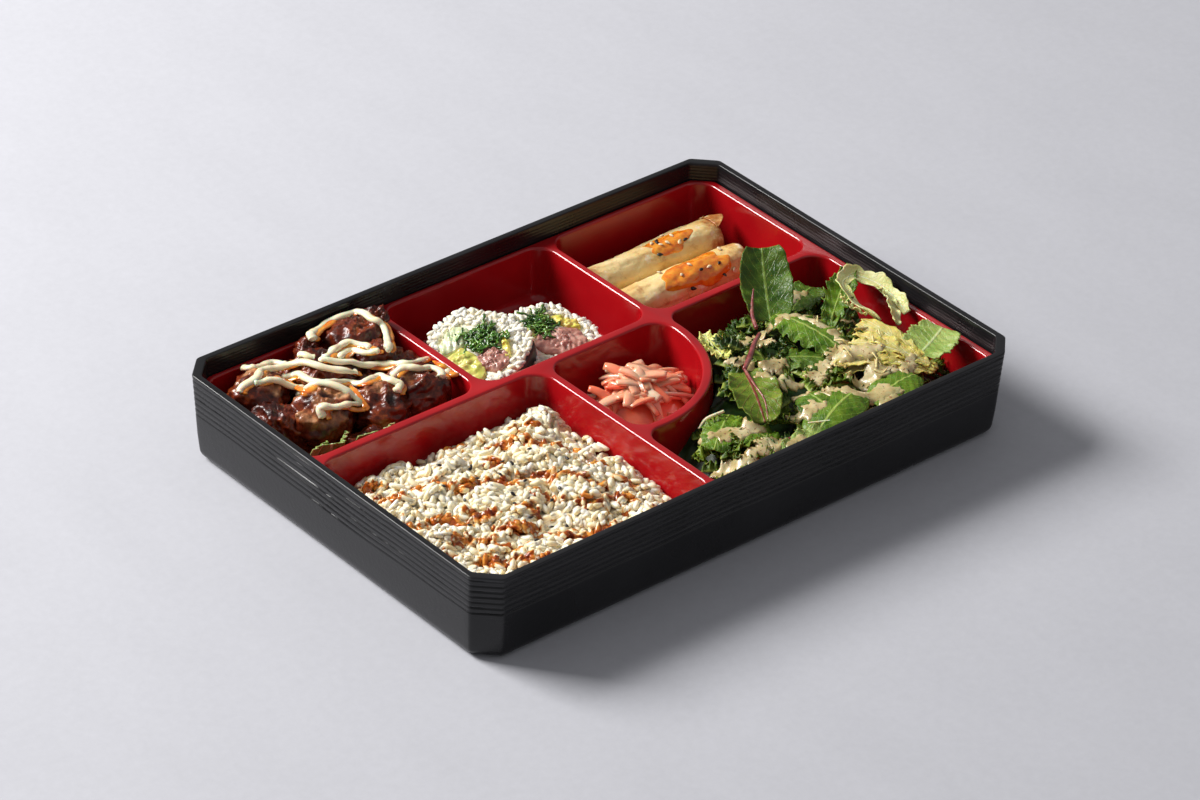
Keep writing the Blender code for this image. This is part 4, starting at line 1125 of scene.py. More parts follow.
def glazeMaterial(name):
    # dark glaze in five browns, paler where the skin value shows the bare meat, with fine char flecks
    made = newMaterial(
        name, (0.09, 0.018, 0.008), 0.36, Specular_IOR_Level=0.34, Coat_Weight=0.25, Coat_Roughness=0.06,
        Subsurface_Weight=0.12, Subsurface_Scale=0.003,
    )
    wires = Wiring(made)
    patch = wires.noise(85.0, 5.0, 0.62)
    grain = wires.noise(420.0, 4.0, 0.6)
    brown = wires.ramp(patch, [
        (0.30, (0.018, 0.003, 0.002)), (0.42, (0.072, 0.008, 0.003)), (0.53, (0.18, 0.024, 0.006)),
        (0.64, (0.31, 0.062, 0.012)), (0.76, (0.48, 0.15, 0.042)),
    ])
    skin = wires.value("skin")
    pale = wires.ramp(
        wires.noise(120.0, 4.0), [(0.3, (0.30, 0.080, 0.026)), (0.52, (0.58, 0.25, 0.10)), (0.72, (0.74, 0.44, 0.24))],
    )
    fleck = wires.ramp(grain, [(0.42, (0.45, 0.45, 0.45)), (0.62, (1.0, 1.0, 1.0))])
    tone = wires.mix(wires.grey(skin, 0.25, 0.8), brown, pale)
    wires.finish(
        colour=wires.mix(0.75, tone, fleck, "MULTIPLY"),
        roughness=wires.grey(patch, 0.35, 0.7, 0.38, 0.2),
        normal=wires.bump(wires.mix(0.5, grain, wires.noise(150.0, 5.0)), 0.0011, 0.75),
    )
    return made


sauceShape = {"mayoRadius": 2.0, "amberRadius": 1.9, "backmost": 119.0, "highest": 54.5}
mayoLines = [
    [(-101, 113), (-97, 120), (-85, 124), (-75, 125), (-67, 121), (-64, 112), (-65, 100), (-72, 87), (-76, 83)],
    [(-107, 96), (-98, 100), (-90, 101), (-84, 95), (-82, 89)],
    [(-145, 117), (-140, 113), (-132, 110), (-125, 105)],
    [(-162, 96), (-157, 100), (-145, 103), (-138, 107), (-125, 100), (-113, 91), (-105, 80), (-102, 76)],
    [(-150, 100), (-143, 98), (-138, 92), (-132, 80)],
    [(-135, 97), (-129, 93), (-127, 86), (-120, 78), (-113, 70), (-104, 67), (-96, 65), (-92, 60), (-91, 54),
     (-97, 49)],
    [(-110, 97), (-104, 90), (-97, 84), (-92, 76), (-85, 70), (-75, 67), (-66, 63), (-62, 59), (-62, 52),
     (-63, 46)],
    [(-90, 62), (-80, 65), (-74, 60), (-69, 57), (-67, 50), (-70, 46)],
    [(-139, 78), (-130, 80), (-118, 73), (-119, 53), (-123, 49), (-128, 56), (-137, 60), (-142, 52)],
    [(-100, 92), (-93, 93), (-87, 88), (-80, 84)],
    [(-115, 107), (-112, 103), (-110, 100)],
]


def landOnTop(stops, topMap):
    # each stop, given at the height of the tray's top, slides down a slanting line to where it meets the food
    stops = np.array(stops, float)
    heights = np.linspace(53.0, 34.0, 77)
    slant = np.array([1.01, 1.15])
    real = stops[:, None] + (trayShape["top"] - heights)[None, :, None] * slant
    gap = heights - topMap.heightAt(real.reshape(-1, 2)).reshape(len(stops), -1)
    hit = np.where((gap <= 0).any(1), (gap <= 0).argmax(1), gap.argmin(1))
    chosen = np.arange(len(stops))
    return np.column_stack([real[chosen, hit], heights[hit]])


def drapedStrand(stops, topMap, radius, seed, lift, flat):
    # a strand over the lumps: evenly resampled, its height smoothed so that it bridges the gaps
    real = landOnTop(stops, topMap)
    path = smoothPath(real, len(real) * 10)
    path[:, 1] = np.minimum(path[:, 1], sauceShape["backmost"])
    height = np.maximum(topMap.heightAt(path[:, :2]), path[:, 2] - 1.2)
    bridged = height.copy()
    for _ in range(30):
        bridged = np.maximum(height, (np.roll(bridged, 1) + np.roll(bridged, -1)) / 2 - 0.02)
        bridged[0], bridged[-1] = height[0], height[-1]
    for _ in range(4):
        bridged[1:-1] = (bridged[:-2] + 2 * bridged[1:-1] + bridged[2:]) / 4
    path[:, 2] = np.minimum(bridged + lift, sauceShape["highest"])
    width = radius * (1 + waveField(path, seed, 0.16, 14) + waveField(path, seed + 1, 0.10, 6))
    ends = np.minimum(np.arange(len(path)), np.arange(len(path))[::-1])
    width = width * np.interp(ends, [0, 1, 2, 4], [0.45, 0.95, 1.2, 1.05])
    return tubePart(path, width, 12, flat)


def creamMaterial(name):
    # pale cream in three close tones, slightly see-through
    made = newMaterial(
        name, (0.88, 0.80, 0.56), 0.22, Subsurface_Weight=0.4, Subsurface_Scale=0.003, Specular_IOR_Level=0.5,
    )
    wires = Wiring(made)
    tone = wires.noise(120.0, 2.0)
    wires.finish(
        colour=wires.ramp(tone, [(0.3, (0.80, 0.71, 0.45)), (0.6, (0.88, 0.82, 0.60)), (0.8, (0.91, 0.87, 0.70))]),
        normal=wires.bump(wires.noise(260.0, 2.0), 0.0002, 0.25),
    )
    return made


def makeChicken():
    # the lumps in one piece over a plain bed, mayonnaise strands on top and an amber streak beside each
    parts = []
    outline = pocketOutlines["chicken"]
    for index, (name, (centre, half, turn)) in enumerate(chickenLumps.items()):
        small = max(half) < 8
        points, faces = lumpPart(centre, half, turn, 100 + 9 * index, 32 if small else 58, 42 if small else 84)
        skin = np.zeros(len(points))
        if name == "chicken_front_left":
            skin = np.clip(waveField(points, 300, 0.45, 16, 9) + (points[:, 2] - 36) / 14, 0, 1)
        elif name in ("chicken_front_middle", "chicken_left_back", "chicken_front_right"):
            skin = np.clip(waveField(points, 301, 0.4, 13, 9) + (points[:, 2] - 42) / 14, 0, 0.7)
        points[:, 2] = np.minimum(points[:, 2], 51.5)
        keepInside(points, outline, (-115.0, 73.0), 0.35, 9, 1.0)
        points[:, 2] = np.maximum(points[:, 2], 14.0)
        parts.append((points, faces, {"skin": skin}))
    nodes = [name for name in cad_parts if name.startswith("chicken_") and name != "chicken_base"]
    cloud = makeJoined("chickenPieces", parts, glazeMaterial("soyGlaze"), nodes)
    points, faces, _ = heapCore(outline, lambda flat: 24.0 + waveField(flat, 90, 1.2, 12), 24)
    bare = {"skin": np.zeros(len(points))}
    makePiece("chickenBed", points, faces, glazeMaterial("darkGlaze"), ["chicken_base"], bare)
    topMap = TopMap([cloud], (-175, -50, 20, 125), 1.4, 24.0)
    wide = sauceShape["mayoRadius"]
    strands = [drapedStrand(line, topMap, wide, 200 + i, 0.8, 0.72) for i, line in enumerate(mayoLines)]
    makeJoined("mayonnaiseLines", strands, creamMaterial("mayonnaise"))
    glossy = []
    for i, line in enumerate(mayoLines[:10]):
        shifted = [(x + 1.6 + 0.8 * math.sin(i), y - 1.6 + 0.6 * math.cos(2 * i)) for x, y in line]
        glossy.append(drapedStrand(shifted, topMap, sauceShape["amberRadius"], 240 + i, 0.15, 0.45))
    amber = sauceMaterial("amberSauce", ((0.50, 0.075, 0.008), (0.76, 0.23, 0.016), (0.88, 0.46, 0.06)))
    makeJoined("amberLines", glossy, amber)
    print("chicken: pieces and sauce lines")


makeChicken()


def makeLettuceBit():
    # a few torn leaf frills showing at the pocket's front edge
    maker = np.random.default_rng(8)
    parts = []
    for x, y, turn in ((-154, 42, 10), (-147, 39.5, -25), (-141, 41, 40), (-128, 36, -10), (-118, 34.5, 15)):
        u, v = np.meshgrid(np.linspace(-1, 1, 26), np.linspace(0, 1, 14), indexing="ij")
        angle = math.radians(turn)
        along = np.array([math.cos(angle), math.sin(angle), 0.0])
        out = np.array([math.sin(angle) * 0.4, -0.35, 0.9])
        width = 7.5 * (1 - 0.25 * v)
        frill = 1.5 * v**1.5 * np.sin(9 * u + maker.uniform(0, 6)) + 0.5 * v * np.sin(23 * u)
        points = np.array([x, y, 29.5]) + u[..., None] * width[..., None] * along + v[..., None] * 8.0 * out
        points = points + frill[..., None] * np.array([0.35, -0.75, 0.35])
        parts.append(sheetPart(points, 0.5))
    paint = leafMaterial("frillGreen", (0.10, 0.20, 0.018), (0.42, 0.52, 0.20), (0.55, 0.62, 0.35))
    makeJoined("lettuceFrill", parts, paint, ["lettuce"])
    print("lettuce:", len(parts), "frills")


makeLettuceBit()


# dressed salad

leafKeys = ("base", "tip", "width", "sag", "cup", "power", "ruffle", "waves", "tooth", "teeth")
bigLeaves = {
    # name: base, tip, width, sag, cup, edge power, ruffle, waves, tooth depth, number of teeth; then paint
    "standing": ((104, -15, 40), (126.5, 19.0, 60.3), 28, 3, 4.5, 0.26, 1.3, 2.2, 0.03, 9, "dark"),
    "strip": ((126, -36, 37), (168, -7, 46.5), 15, -2, 2.5, 0.7, 1.8, 7, 0.35, 9, "bright"),
    "light_green": ((142, -89, 42.0), (167, -80, 44.5), 28, 0.5, 2.0, 0.22, 1.2, 3, 0.12, 14, "light"),
    "round": ((94, -106, 39), (127, -102, 42), 22, -3, -2, 0.35, 0.7, 2, 0.0, 9, "bright"),
    "folded": ((50, -110, 38.5), (92, -95, 42), 27, -4.5, -3.5, 0.35, 0.9, 3, 0.0, 9, "bright"),
    "red_stem": ((56, -48, 43.0), (35, -88, 41.5), 26, -3, 3, 0.42, 1.4, 3, 0.0, 9, "olive"),
    "middle": ((108, -14, 42.0), (112, -64, 42.5), 25, -3.5, -3, 0.5, 1.5, 6, 0.14, 11, "bright"),
    "back": ((126, -8, 34.5), (152, 5, 33.0), 24, -2.5, 1.5, 0.45, 1.4, 5, 0.0, 9, "dark"),
    "yellow": ((69, -1, 38.0), (62.5, -27, 38.5), 12, 1, 2, 0.5, 1.6, 6, 0.2, 9, "yellow"),
    "wide_low": ((22, -112, 36.0), (64, -112, 39.0), 16, -2, 2, 0.5, 1.5, 4, 0.0, 9, "light"),
    "under_red": ((18, -64, 33), (34, -98, 36), 24, -3, -2, 0.5, 1.6, 5, 0.0, 9, "bright"),
    "smooth_front": ((66, -112, 38.5), (70, -82, 42.5), 26, -3.5, -3.0, 0.33, 0.8, 2, 0.0, 9, "bright"),
    "left_low": ((34, -62, 33), (4, -84, 35), 20, -3, -2, 0.45, 1.6, 5, 0.15, 9, "bright"),
    "dark_mid": ((84, -42, 38), (112, -72, 38), 22, -3, -2, 0.5, 1.6, 5, 0.1, 9, "dark"),
}
leafSlots = {
    "standing": "leaf_dark", "strip": "leaf_dark", "light_green": "leaf_light", "round": "leaf_dark",
    "folded": "leaf_dark", "red_stem": "leaf_dark", "middle": "leaf_dark", "back": "leaf_dark",
    "yellow": "leaf_pale",
}


def saladTop(flat):
    # loose bed of leaves: high in the middle and front, falling away near the back walls
    x, y = flat[:, 0], flat[:, 1]
    edge = lambda gap, reach: np.clip(gap / reach, 0, 1) ** 0.7
    fall = edge(24 - y, 44) * edge(173 - x, 44) * edge(x + 8, 30) * edge(y + 128, 22)
    return 12.5 + 21.0 * fall + waveField(flat, 60, 1.3, 26) + waveField(flat, 61, 0.8, 11)


def stemPart(stops, radius, count=40, around=9):
    # a tube through the stops whose radius is read off a short list along it
    path = smoothPath(stops, count)
    width = np.interp(np.linspace(0, 1, count), np.linspace(0, 1, len(radius)), radius)
    return tubePart(path, width, around)


def makeBigLeaves():
    # a blade for every row of the table, red and pale stems as tubes; gives back the points of the low leaves
    paints = {
        "dark": leafMaterial("beetLeaf", (0.026, 0.070, 0.004), (0.105, 0.18, 0.010), (0.20, 0.29, 0.05), 6.0),
        "bright": leafMaterial("saladLeaf", (0.042, 0.112, 0.003), (0.165, 0.27, 0.012), (0.33, 0.42, 0.09), 7.0),
        "light": leafMaterial("butterLeaf", (0.20, 0.31, 0.05), (0.38, 0.46, 0.13), (0.50, 0.56, 0.26), 8.0, 1.2),
        "olive": leafMaterial("redStemLeaf", (0.070, 0.13, 0.007), (0.19, 0.25, 0.018), (0.22, 0.035, 0.030), 6.0),
        "yellow": leafMaterial("yellowLeaf", (0.62, 0.62, 0.12), (0.80, 0.76, 0.30), (0.86, 0.82, 0.50), 9.0),
    }
    clouds = []
    for index, (name, row) in enumerate(bigLeaves.items()):
        points, faces, values = bladePart(dict(zip(leafKeys, row)), seed=index * 1.7)
        if name not in ("standing", "strip", "light_green"):
            clouds.append(points)
        made = "leaf" + "".join(word.capitalize() for word in name.split("_"))
        nodes = ["leaf_" + name] if name in leafSlots else []
        makePiece(made, points, faces, paints[row[-1]], nodes, values)
    redStem = sauceMaterial("redStemSkin", ((0.13, 0.014, 0.018), (0.25, 0.045, 0.045), (0.42, 0.19, 0.13)), 0.3)
    makeJoined("redStems", [
        stemPart([(107, 3, 50), (101, -3, 46), (96, -9, 43.5), (91, -18, 42)], (0.4, 0.9, 1.15, 1.2)),
        stemPart([(86, -26, 44.5), (76, -33, 45.5), (66, -41, 46), (56, -48, 45.5)], (1.1, 1.4, 1.6, 1.3)),
        stemPart([(56, -48, 45.2), (50, -62, 46.0), (45, -76, 45.2), (37, -88, 42.2)], (0.9, 0.6, 0.5, 0.25)),
        stemPart([(24, -106, 37), (40, -104, 39), (56, -108, 38.5)], (0.7, 1.0, 0.5)),
    ], redStem)
    makeJoined("paleRibs", [
        stemPart([(52, -102, 42.0), (62, -108, 42.2), (72, -113, 41)], (0.4, 0.8, 0.4)),
        stemPart([(13, -62, 33), (20, -60, 35), (30, -62, 37)], (0.5, 1.1, 0.8)),
    ], creamMaterial("paleRib"))
    print("big leaves:", len(bigLeaves))
    return clouds


def makeFrisee():
    # two pale heads: a wide fan of crinkled blades and a curl; each blade is a frill with a long shape
    maker = np.random.default_rng(21)
    parts = []
    root = np.array([141.0, -100.0, 39.5])
    blades = 15
    for index in range(blades):
        share = index / (blades - 1)
        tip = np.array([98 + 44 * share, -74 + 30 * share, 41.0 + 4.0 * math.sin(math.pi * share)])
        tip = tip + maker.normal(0, 1.4, 3)
        base = root + maker.normal(0, [2.5, 2.0, 0.8])
        leaf = {
            "base": base, "tip": tip, "width": maker.uniform(9, 15), "sag": -maker.uniform(1.5, 4.0),
            "cup": maker.uniform(-2.5, 1.5), "power": 0.8, "ruffle": maker.uniform(0.5, 1.2),
            "waves": maker.uniform(3, 5), "tooth": 0.24, "teeth": maker.uniform(7, 11),
            "bend": maker.uniform(-2, 2), "pucker": 0.08,
        }
        parts.append(bladePart(leaf, 16, 42, 0.5, index * 2.1))
    for index in range(26):
        start = np.array([100 + maker.uniform(0, 38), -78 + maker.uniform(-14, 34), 41.5 + maker.uniform(0, 3)])
        turn = maker.uniform(0, 2 * math.pi)
        reach = maker.uniform(5, 11)
        way = np.array([math.cos(turn), math.sin(turn), maker.uniform(-0.1, 0.5)]) * reach
        bend = maker.normal(0, 2.5, 3)
        points, faces = stemPart([start, start + way * 0.5 + bend, start + way], (0.75, 0.55, 0.3), 16, 6)
        parts.append((points, faces, {"across": np.full(len(points), 0.3), "along": np.full(len(points), 0.6)}))
    paint = leafMaterial(
        "friseeHeart", (0.56, 0.42, 0.09), (0.80, 0.67, 0.27), (0.86, 0.78, 0.46), 5.0, 1.0, 0.36, (0.66, 0.60, 0.11),
    )
    fan = makeJoined("friseeFan", parts, paint, ["leaf_frisee"])
    ribbons = [
        ([(150, -50, 41), (147, -34, 46), (151, -19, 49), (162, -17, 48.5), (168, -28, 47), (168, -42, 45),
          (166, -54, 42)], 9.0, 5),
        ([(156, -58, 40), (161, -50, 43), (166, -40, 45), (167, -30, 46)], 7.0, 4),
        ([(146, -44, 43), (143, -34, 45), (145, -26, 46)], 6.0, 4),
    ]
    parts = []
    for index, (stops, width, waves) in enumerate(ribbons):
        path = smoothPath(stops, 60)
        _, side, top = frameAlong(path)
        share = np.linspace(0, 1, 60)
        lateral = np.linspace(-1, 1, 17)
        half = width / 2 * np.sin(math.pi * (0.1 + 0.8 * share)) ** 0.5
        inner = lateral[:, None] > 0
        frayed = 1 + 0.35 * inner * np.abs(np.sin(share * waves * 9))[None] + 0.1 * np.sin(share * 30)[None]
        wave = 1.3 * lateral[:, None] ** 2 * np.sin(share * waves * 6 + index)[None] - 1.2 * (1 - lateral[:, None] ** 2)
        out = side * 0.75 + top * 0.45
        grid = path[None] + out[None] * (lateral[:, None] * half[None] * frayed)[..., None]
        grid = grid + top[None] * wave[..., None]
        parts.append(sheetPart(grid, 0.6))
    paint = leafMaterial("friseeCurl", (0.56, 0.56, 0.18), (0.78, 0.74, 0.42), (0.86, 0.82, 0.58), 4.0, 1.0, 0.34)
    makeJoined("friseeCurl", parts, paint, ["leaf_pale_curl"])
    print("frisee ready")
    return [fan]


frillAreas = [
    # centre x, y, spread x, y, count, lift, shade
    (72, -12, 15, 11, 22, 5.0, 0.15), (52, -38, 10, 14, 20, 5.0, 0.10), (92, -44, 12, 16, 20, 4.0, 0.08),
    (132, -44, 12, 15, 18, 4.5, 0.05), (4, -98, 18, 13, 34, 4.0, 0.35), (14, -76, 10, 12, 14, 3.5, 0.45),
    (146, -18, 11, 12, 12, 3.0, 0.12), (60, -78, 20, 14, 12, 4.0, 0.3), (40, -106, 18, 8, 14, 3.5, 0.25),
    (110, -98, 26, 14, 14, 2.5, 0.2), (150, -104, 16, 9, 10, 1.5, 0.1), (88, -70, 16, 14, 14, 3.5, 0.35),
    (112, -6, 14, 10, 12, 2.5, 0.2), (156, -66, 10, 18, 10, 1.5, 0.25),
]


def makeFrills():
    # small frills strewn over each area of the table, resting on the bed and kept inside the pocket
    maker = np.random.default_rng(33)
    parts = []
    for x, y, sx, sy, count, lift, shade in frillAreas:
        for _ in range(count):
            spot = np.array([x + maker.uniform(-1, 1) * sx, y + maker.uniform(-1, 1) * sy])
            limit = pocketInset(spot[None], pocketOutlines["salad"])[0]
            if limit < 5.5:
                continue
            height = saladTop(spot[None])[0] + lift * maker.uniform(-0.3, 1.0)
            size = maker.uniform(0.75, 1.25)
            parts.append(frillPart(
                (*spot, height), maker.uniform(0, 2 * math.pi), 13 * size, 6.5 * size, maker.uniform(2.5, 4.5),
                1.6 * size, int(maker.integers(1e6)), maker.uniform(0.0, 0.5),
                np.clip(shade + maker.normal(0, 0.2), 0, 1),
            ))
    points, faces, values = joinParts(parts)
    keepInside(points, pocketOutlines["salad"], (105.0, -75.0), 0.5, 8, 0.8)
    paint = frillMaterial("curlyGreens", (0.030, 0.075, 0.003), (0.26, 0.36, 0.025), (0.42, 0.48, 0.09))
    print("frills:", len(parts), "with", sum(len(f) for f in faces), "faces")
    makePiece("curlyGreens", points, faces, paint, values=values)
    return points


dressingLines = [
    # x, y and half width at each stop
    [(95, -12, 5), (104, -16, 6), (112, -20, 6), (118, -25, 4)],
    [(112, -24, 4), (118, -36, 5), (120, -48, 6), (116, -60, 5)],
    [(102, -58, 4), (108, -64, 5), (115, -66, 4)], [(55, -56, 4), (64, -60, 5), (75, -64, 4)],
    [(68, -42, 4), (77, -46, 5), (85, -50, 4)], [(62, -78, 4), (74, -82, 6), (88, -88, 6)],
    [(82, -86, 5), (92, -96, 6), (104, -106, 5), (112, -112, 3)], [(5, -72, 4), (18, -80, 5), (34, -90, 4)],
    [(26, -96, 5), (34, -104, 6), (44, -111, 5)], [(100, -67, 5), (114, -72, 6), (129, -77, 4)],
    [(120, -22, 4), (134, -28, 5), (148, -34, 3)], [(60, -28, 3), (66, -34, 4), (70, -42, 3)],
    [(84, -72, 4), (92, -66, 5), (102, -64, 4)], [(48, -90, 4), (60, -94, 5), (70, -98, 4)],
    [(138, -88, 3), (130, -94, 4), (122, -98, 3)], [(-2, -88, 3), (6, -96, 4), (16, -104, 3)],
    [(126, -2, 3), (134, 0, 4), (144, -1, 3)], [(76, -18, 3), (86, -22, 4), (94, -30, 3)],
    [(98, -80, 4), (110, -88, 6), (124, -92, 4)], [(10, -104, 4), (22, -100, 5), (34, -98, 4)],
    [(86, -110, 3), (98, -112, 4), (110, -108, 3)], [(58, -70, 3), (66, -64, 4), (78, -70, 3)],
]


def makeDressing(clouds):
    # speckled cream sauce poured along the lines over whatever lies highest
    topMap = TopMap(clouds, (-25, 175, -122, 28), 1.5, 22.0, 5)
    patches = drapedPatches(dressingLines, topMap, 70, 1.15, (0.5, 1.0, 0.2), 52.0)
    paint = newMaterial(
        "sesameDressing", (0.70, 0.58, 0.38), 0.32, Subsurface_Weight=0.25, Subsurface_Scale=0.003, Coat_Weight=0.15,
    )
    wires = Wiring(paint)
    speck = wires.noise(560.0, 3.0, 0.6)
    tone = wires.noise(110.0, 4.0)
    cream = wires.ramp(tone, [(0.3, (0.34, 0.26, 0.09)), (0.52, (0.52, 0.42, 0.20)), (0.75, (0.68, 0.58, 0.36))])
    wires.finish(
        colour=wires.mix(wires.grey(speck, 0.61, 0.66), cream, (0.24, 0.11, 0.045)),
        normal=wires.bump(wires.mix(0.5, speck, wires.noise(240.0, 3.0)), 0.0006, 0.5),
    )
    makeJoined("sesameDressing", patches, paint)


def makeSaladBed():
    # the body of the heap, four millimetres under its loose top, painted near black green as painted shade deep between
    # the leaves
    points, faces, _ = heapCore(pocketOutlines["salad"], lambda f: saladTop(f) - 4.0, 46, (105, -75))
    # painted shade: both greens are far darker than any leaf and stand for the shadow inside the heap, seen in the gaps
    paint = frillMaterial("shadeDarkGreens", (0.010, 0.026, 0.005), (0.05, 0.10, 0.016), (0.04, 0.07, 0.012))
    values = {"shade": np.clip(waveField(points, 80, 0.5, 14), 0, 1), "across": np.zeros(len(points))}
    makePiece("saladShadeBed", points, faces, paint, ["salad"], values)


makeSaladBed()
saladClouds = [makeFrills()] + makeBigLeaves() + makeFrisee()
makeDressing(saladClouds)
print("salad ready")

# sushi roll slices

makiShape = {
    "left": {
        "centre": (-28, 66.5, 34), "normal": (-0.30, -0.10, 0.95), "half": (24, 28), "thick": 12.6,
        "avocado": ((7.6, 12.6), (-14.0, -6.0), -6, 2.8), "seaweed": ((9.6, 9.0), (4.4, 2.6), 10, 2.0),
        "cucumber": ((10.6, 6.2), (-6.6, 12.6), 14, 2.0), "fish": ((7.4, 9.0), (-1.6, -13.0), 24, 2.2),
        "egg": ((9.0, 2.1), (9.4, -10.8), 56, 3.0),
    },
    "right": {
        "centre": (14.5, 57.8, 28), "normal": (0.02, -0.14, 0.99), "half": (25.6, 26), "thick": 16.5,
        "avocado": ((5.2, 7.8), (-12.4, 10.6), 40, 2.4), "seaweed": ((9.2, 7.8), (-0.2, 10.6), 0, 2.0),
        "fish": ((14.6, 10.4), (1.4, -6.6), -8, 2.3), "egg": ((3.4, 8.8), (13.6, 5.2), 34, 2.6),
    },
}


def sliceAxes(normal):
    # columns across, up and out of a slice's cut face, from its normal
    normal = unit(np.array(normal, float))
    across = unit(np.cross([0, 1, 0], normal))
    return np.stack([across, np.cross(normal, across), normal], 1)


def ovalReach(angle, half, power):
    # distance from the middle of a superellipse to its edge at each angle
    return (np.abs(np.cos(angle) / half[0]) ** power + np.abs(np.sin(angle) / half[1]) ** power) ** (-1 / power)


def ripple(angle, seed):
    # factor that gives an oval three broad and seven small swellings
    return 1 + 0.05 * np.sin(3 * angle + seed) + 0.035 * np.sin(7 * angle + 2 * seed)


def plugPart(half, centre, turn, power, deep, dome=0.8, rough=0.4, seed=0, rings=14, around=56, edge=0.9):
    # a domed plug: superellipse rings growing from the middle, rounded over the rim, then straight down
    angle = np.arange(around) * 2 * math.pi / around
    reach = ovalReach(angle, half, power) * ripple(angle, seed)
    spin = math.radians(turn)
    levels = [(s, dome * (1 - s**2)) for s in np.linspace(0.06, 1 - edge / max(half), rings)]
    levels += [(1 - edge / max(half) * (1 - math.sin(a)), -edge * (1 - math.cos(a))) for a in (0.5, 1.0, 1.5)]
    levels += [(1.0, -deep * k) for k in (0.4, 0.98)] + [(0.93, -deep)]
    out = []
    for share, height in levels:
        x, y = reach * share * np.cos(angle), reach * share * np.sin(angle)
        turned = x * math.cos(spin) - y * math.sin(spin), x * math.sin(spin) + y * math.cos(spin)
        flat = np.column_stack([centre[0] + turned[0], centre[1] + turned[1]])
        bump = waveField(flat, seed + 5, rough, 4.5) + waveField(flat, seed + 6, rough * 0.5, 2.0)
        out.append(np.column_stack([flat, height + bump * (height > -edge * 2)]))
    points, faces = stackRings(out)
    return points, [group[:, ::-1] for group in faces]


def insideOval(flat, half, centre, turn, power, grow=0.0):
    # which points lie in a turned superellipse grown by this much
    spin = math.radians(-turn)
    dx, dy = flat[:, 0] - centre[0], flat[:, 1] - centre[1]
    x, y = dx * math.cos(spin) - dy * math.sin(spin), dx * math.sin(spin) + dy * math.cos(spin)
    return (np.abs(x) / (half[0] + grow)) ** power + (np.abs(y) / (half[1] + grow)) ** power < 1


def fillingMaterial(name, colours, scale, roughness=0.35, subsurface=0.25, stretch=(1, 1, 1)):
    # three tones laid out by noise, with a finer noise as relief
    made = newMaterial(
        name, colours[1], roughness, Subsurface_Weight=subsurface, Subsurface_Scale=0.003, Coat_Weight=0.2,
    )
    wires = Wiring(made)
    tone = wires.noise(scale, 4.0, source=wires.scaled(stretch))
    wires.finish(
        colour=wires.ramp(tone, [(0.28, colours[0]), (0.5, colours[1]), (0.72, colours[2])]),
        normal=wires.bump(wires.noise(scale * 2.2, 3.0), 0.0005, 0.5),
    )
    return made


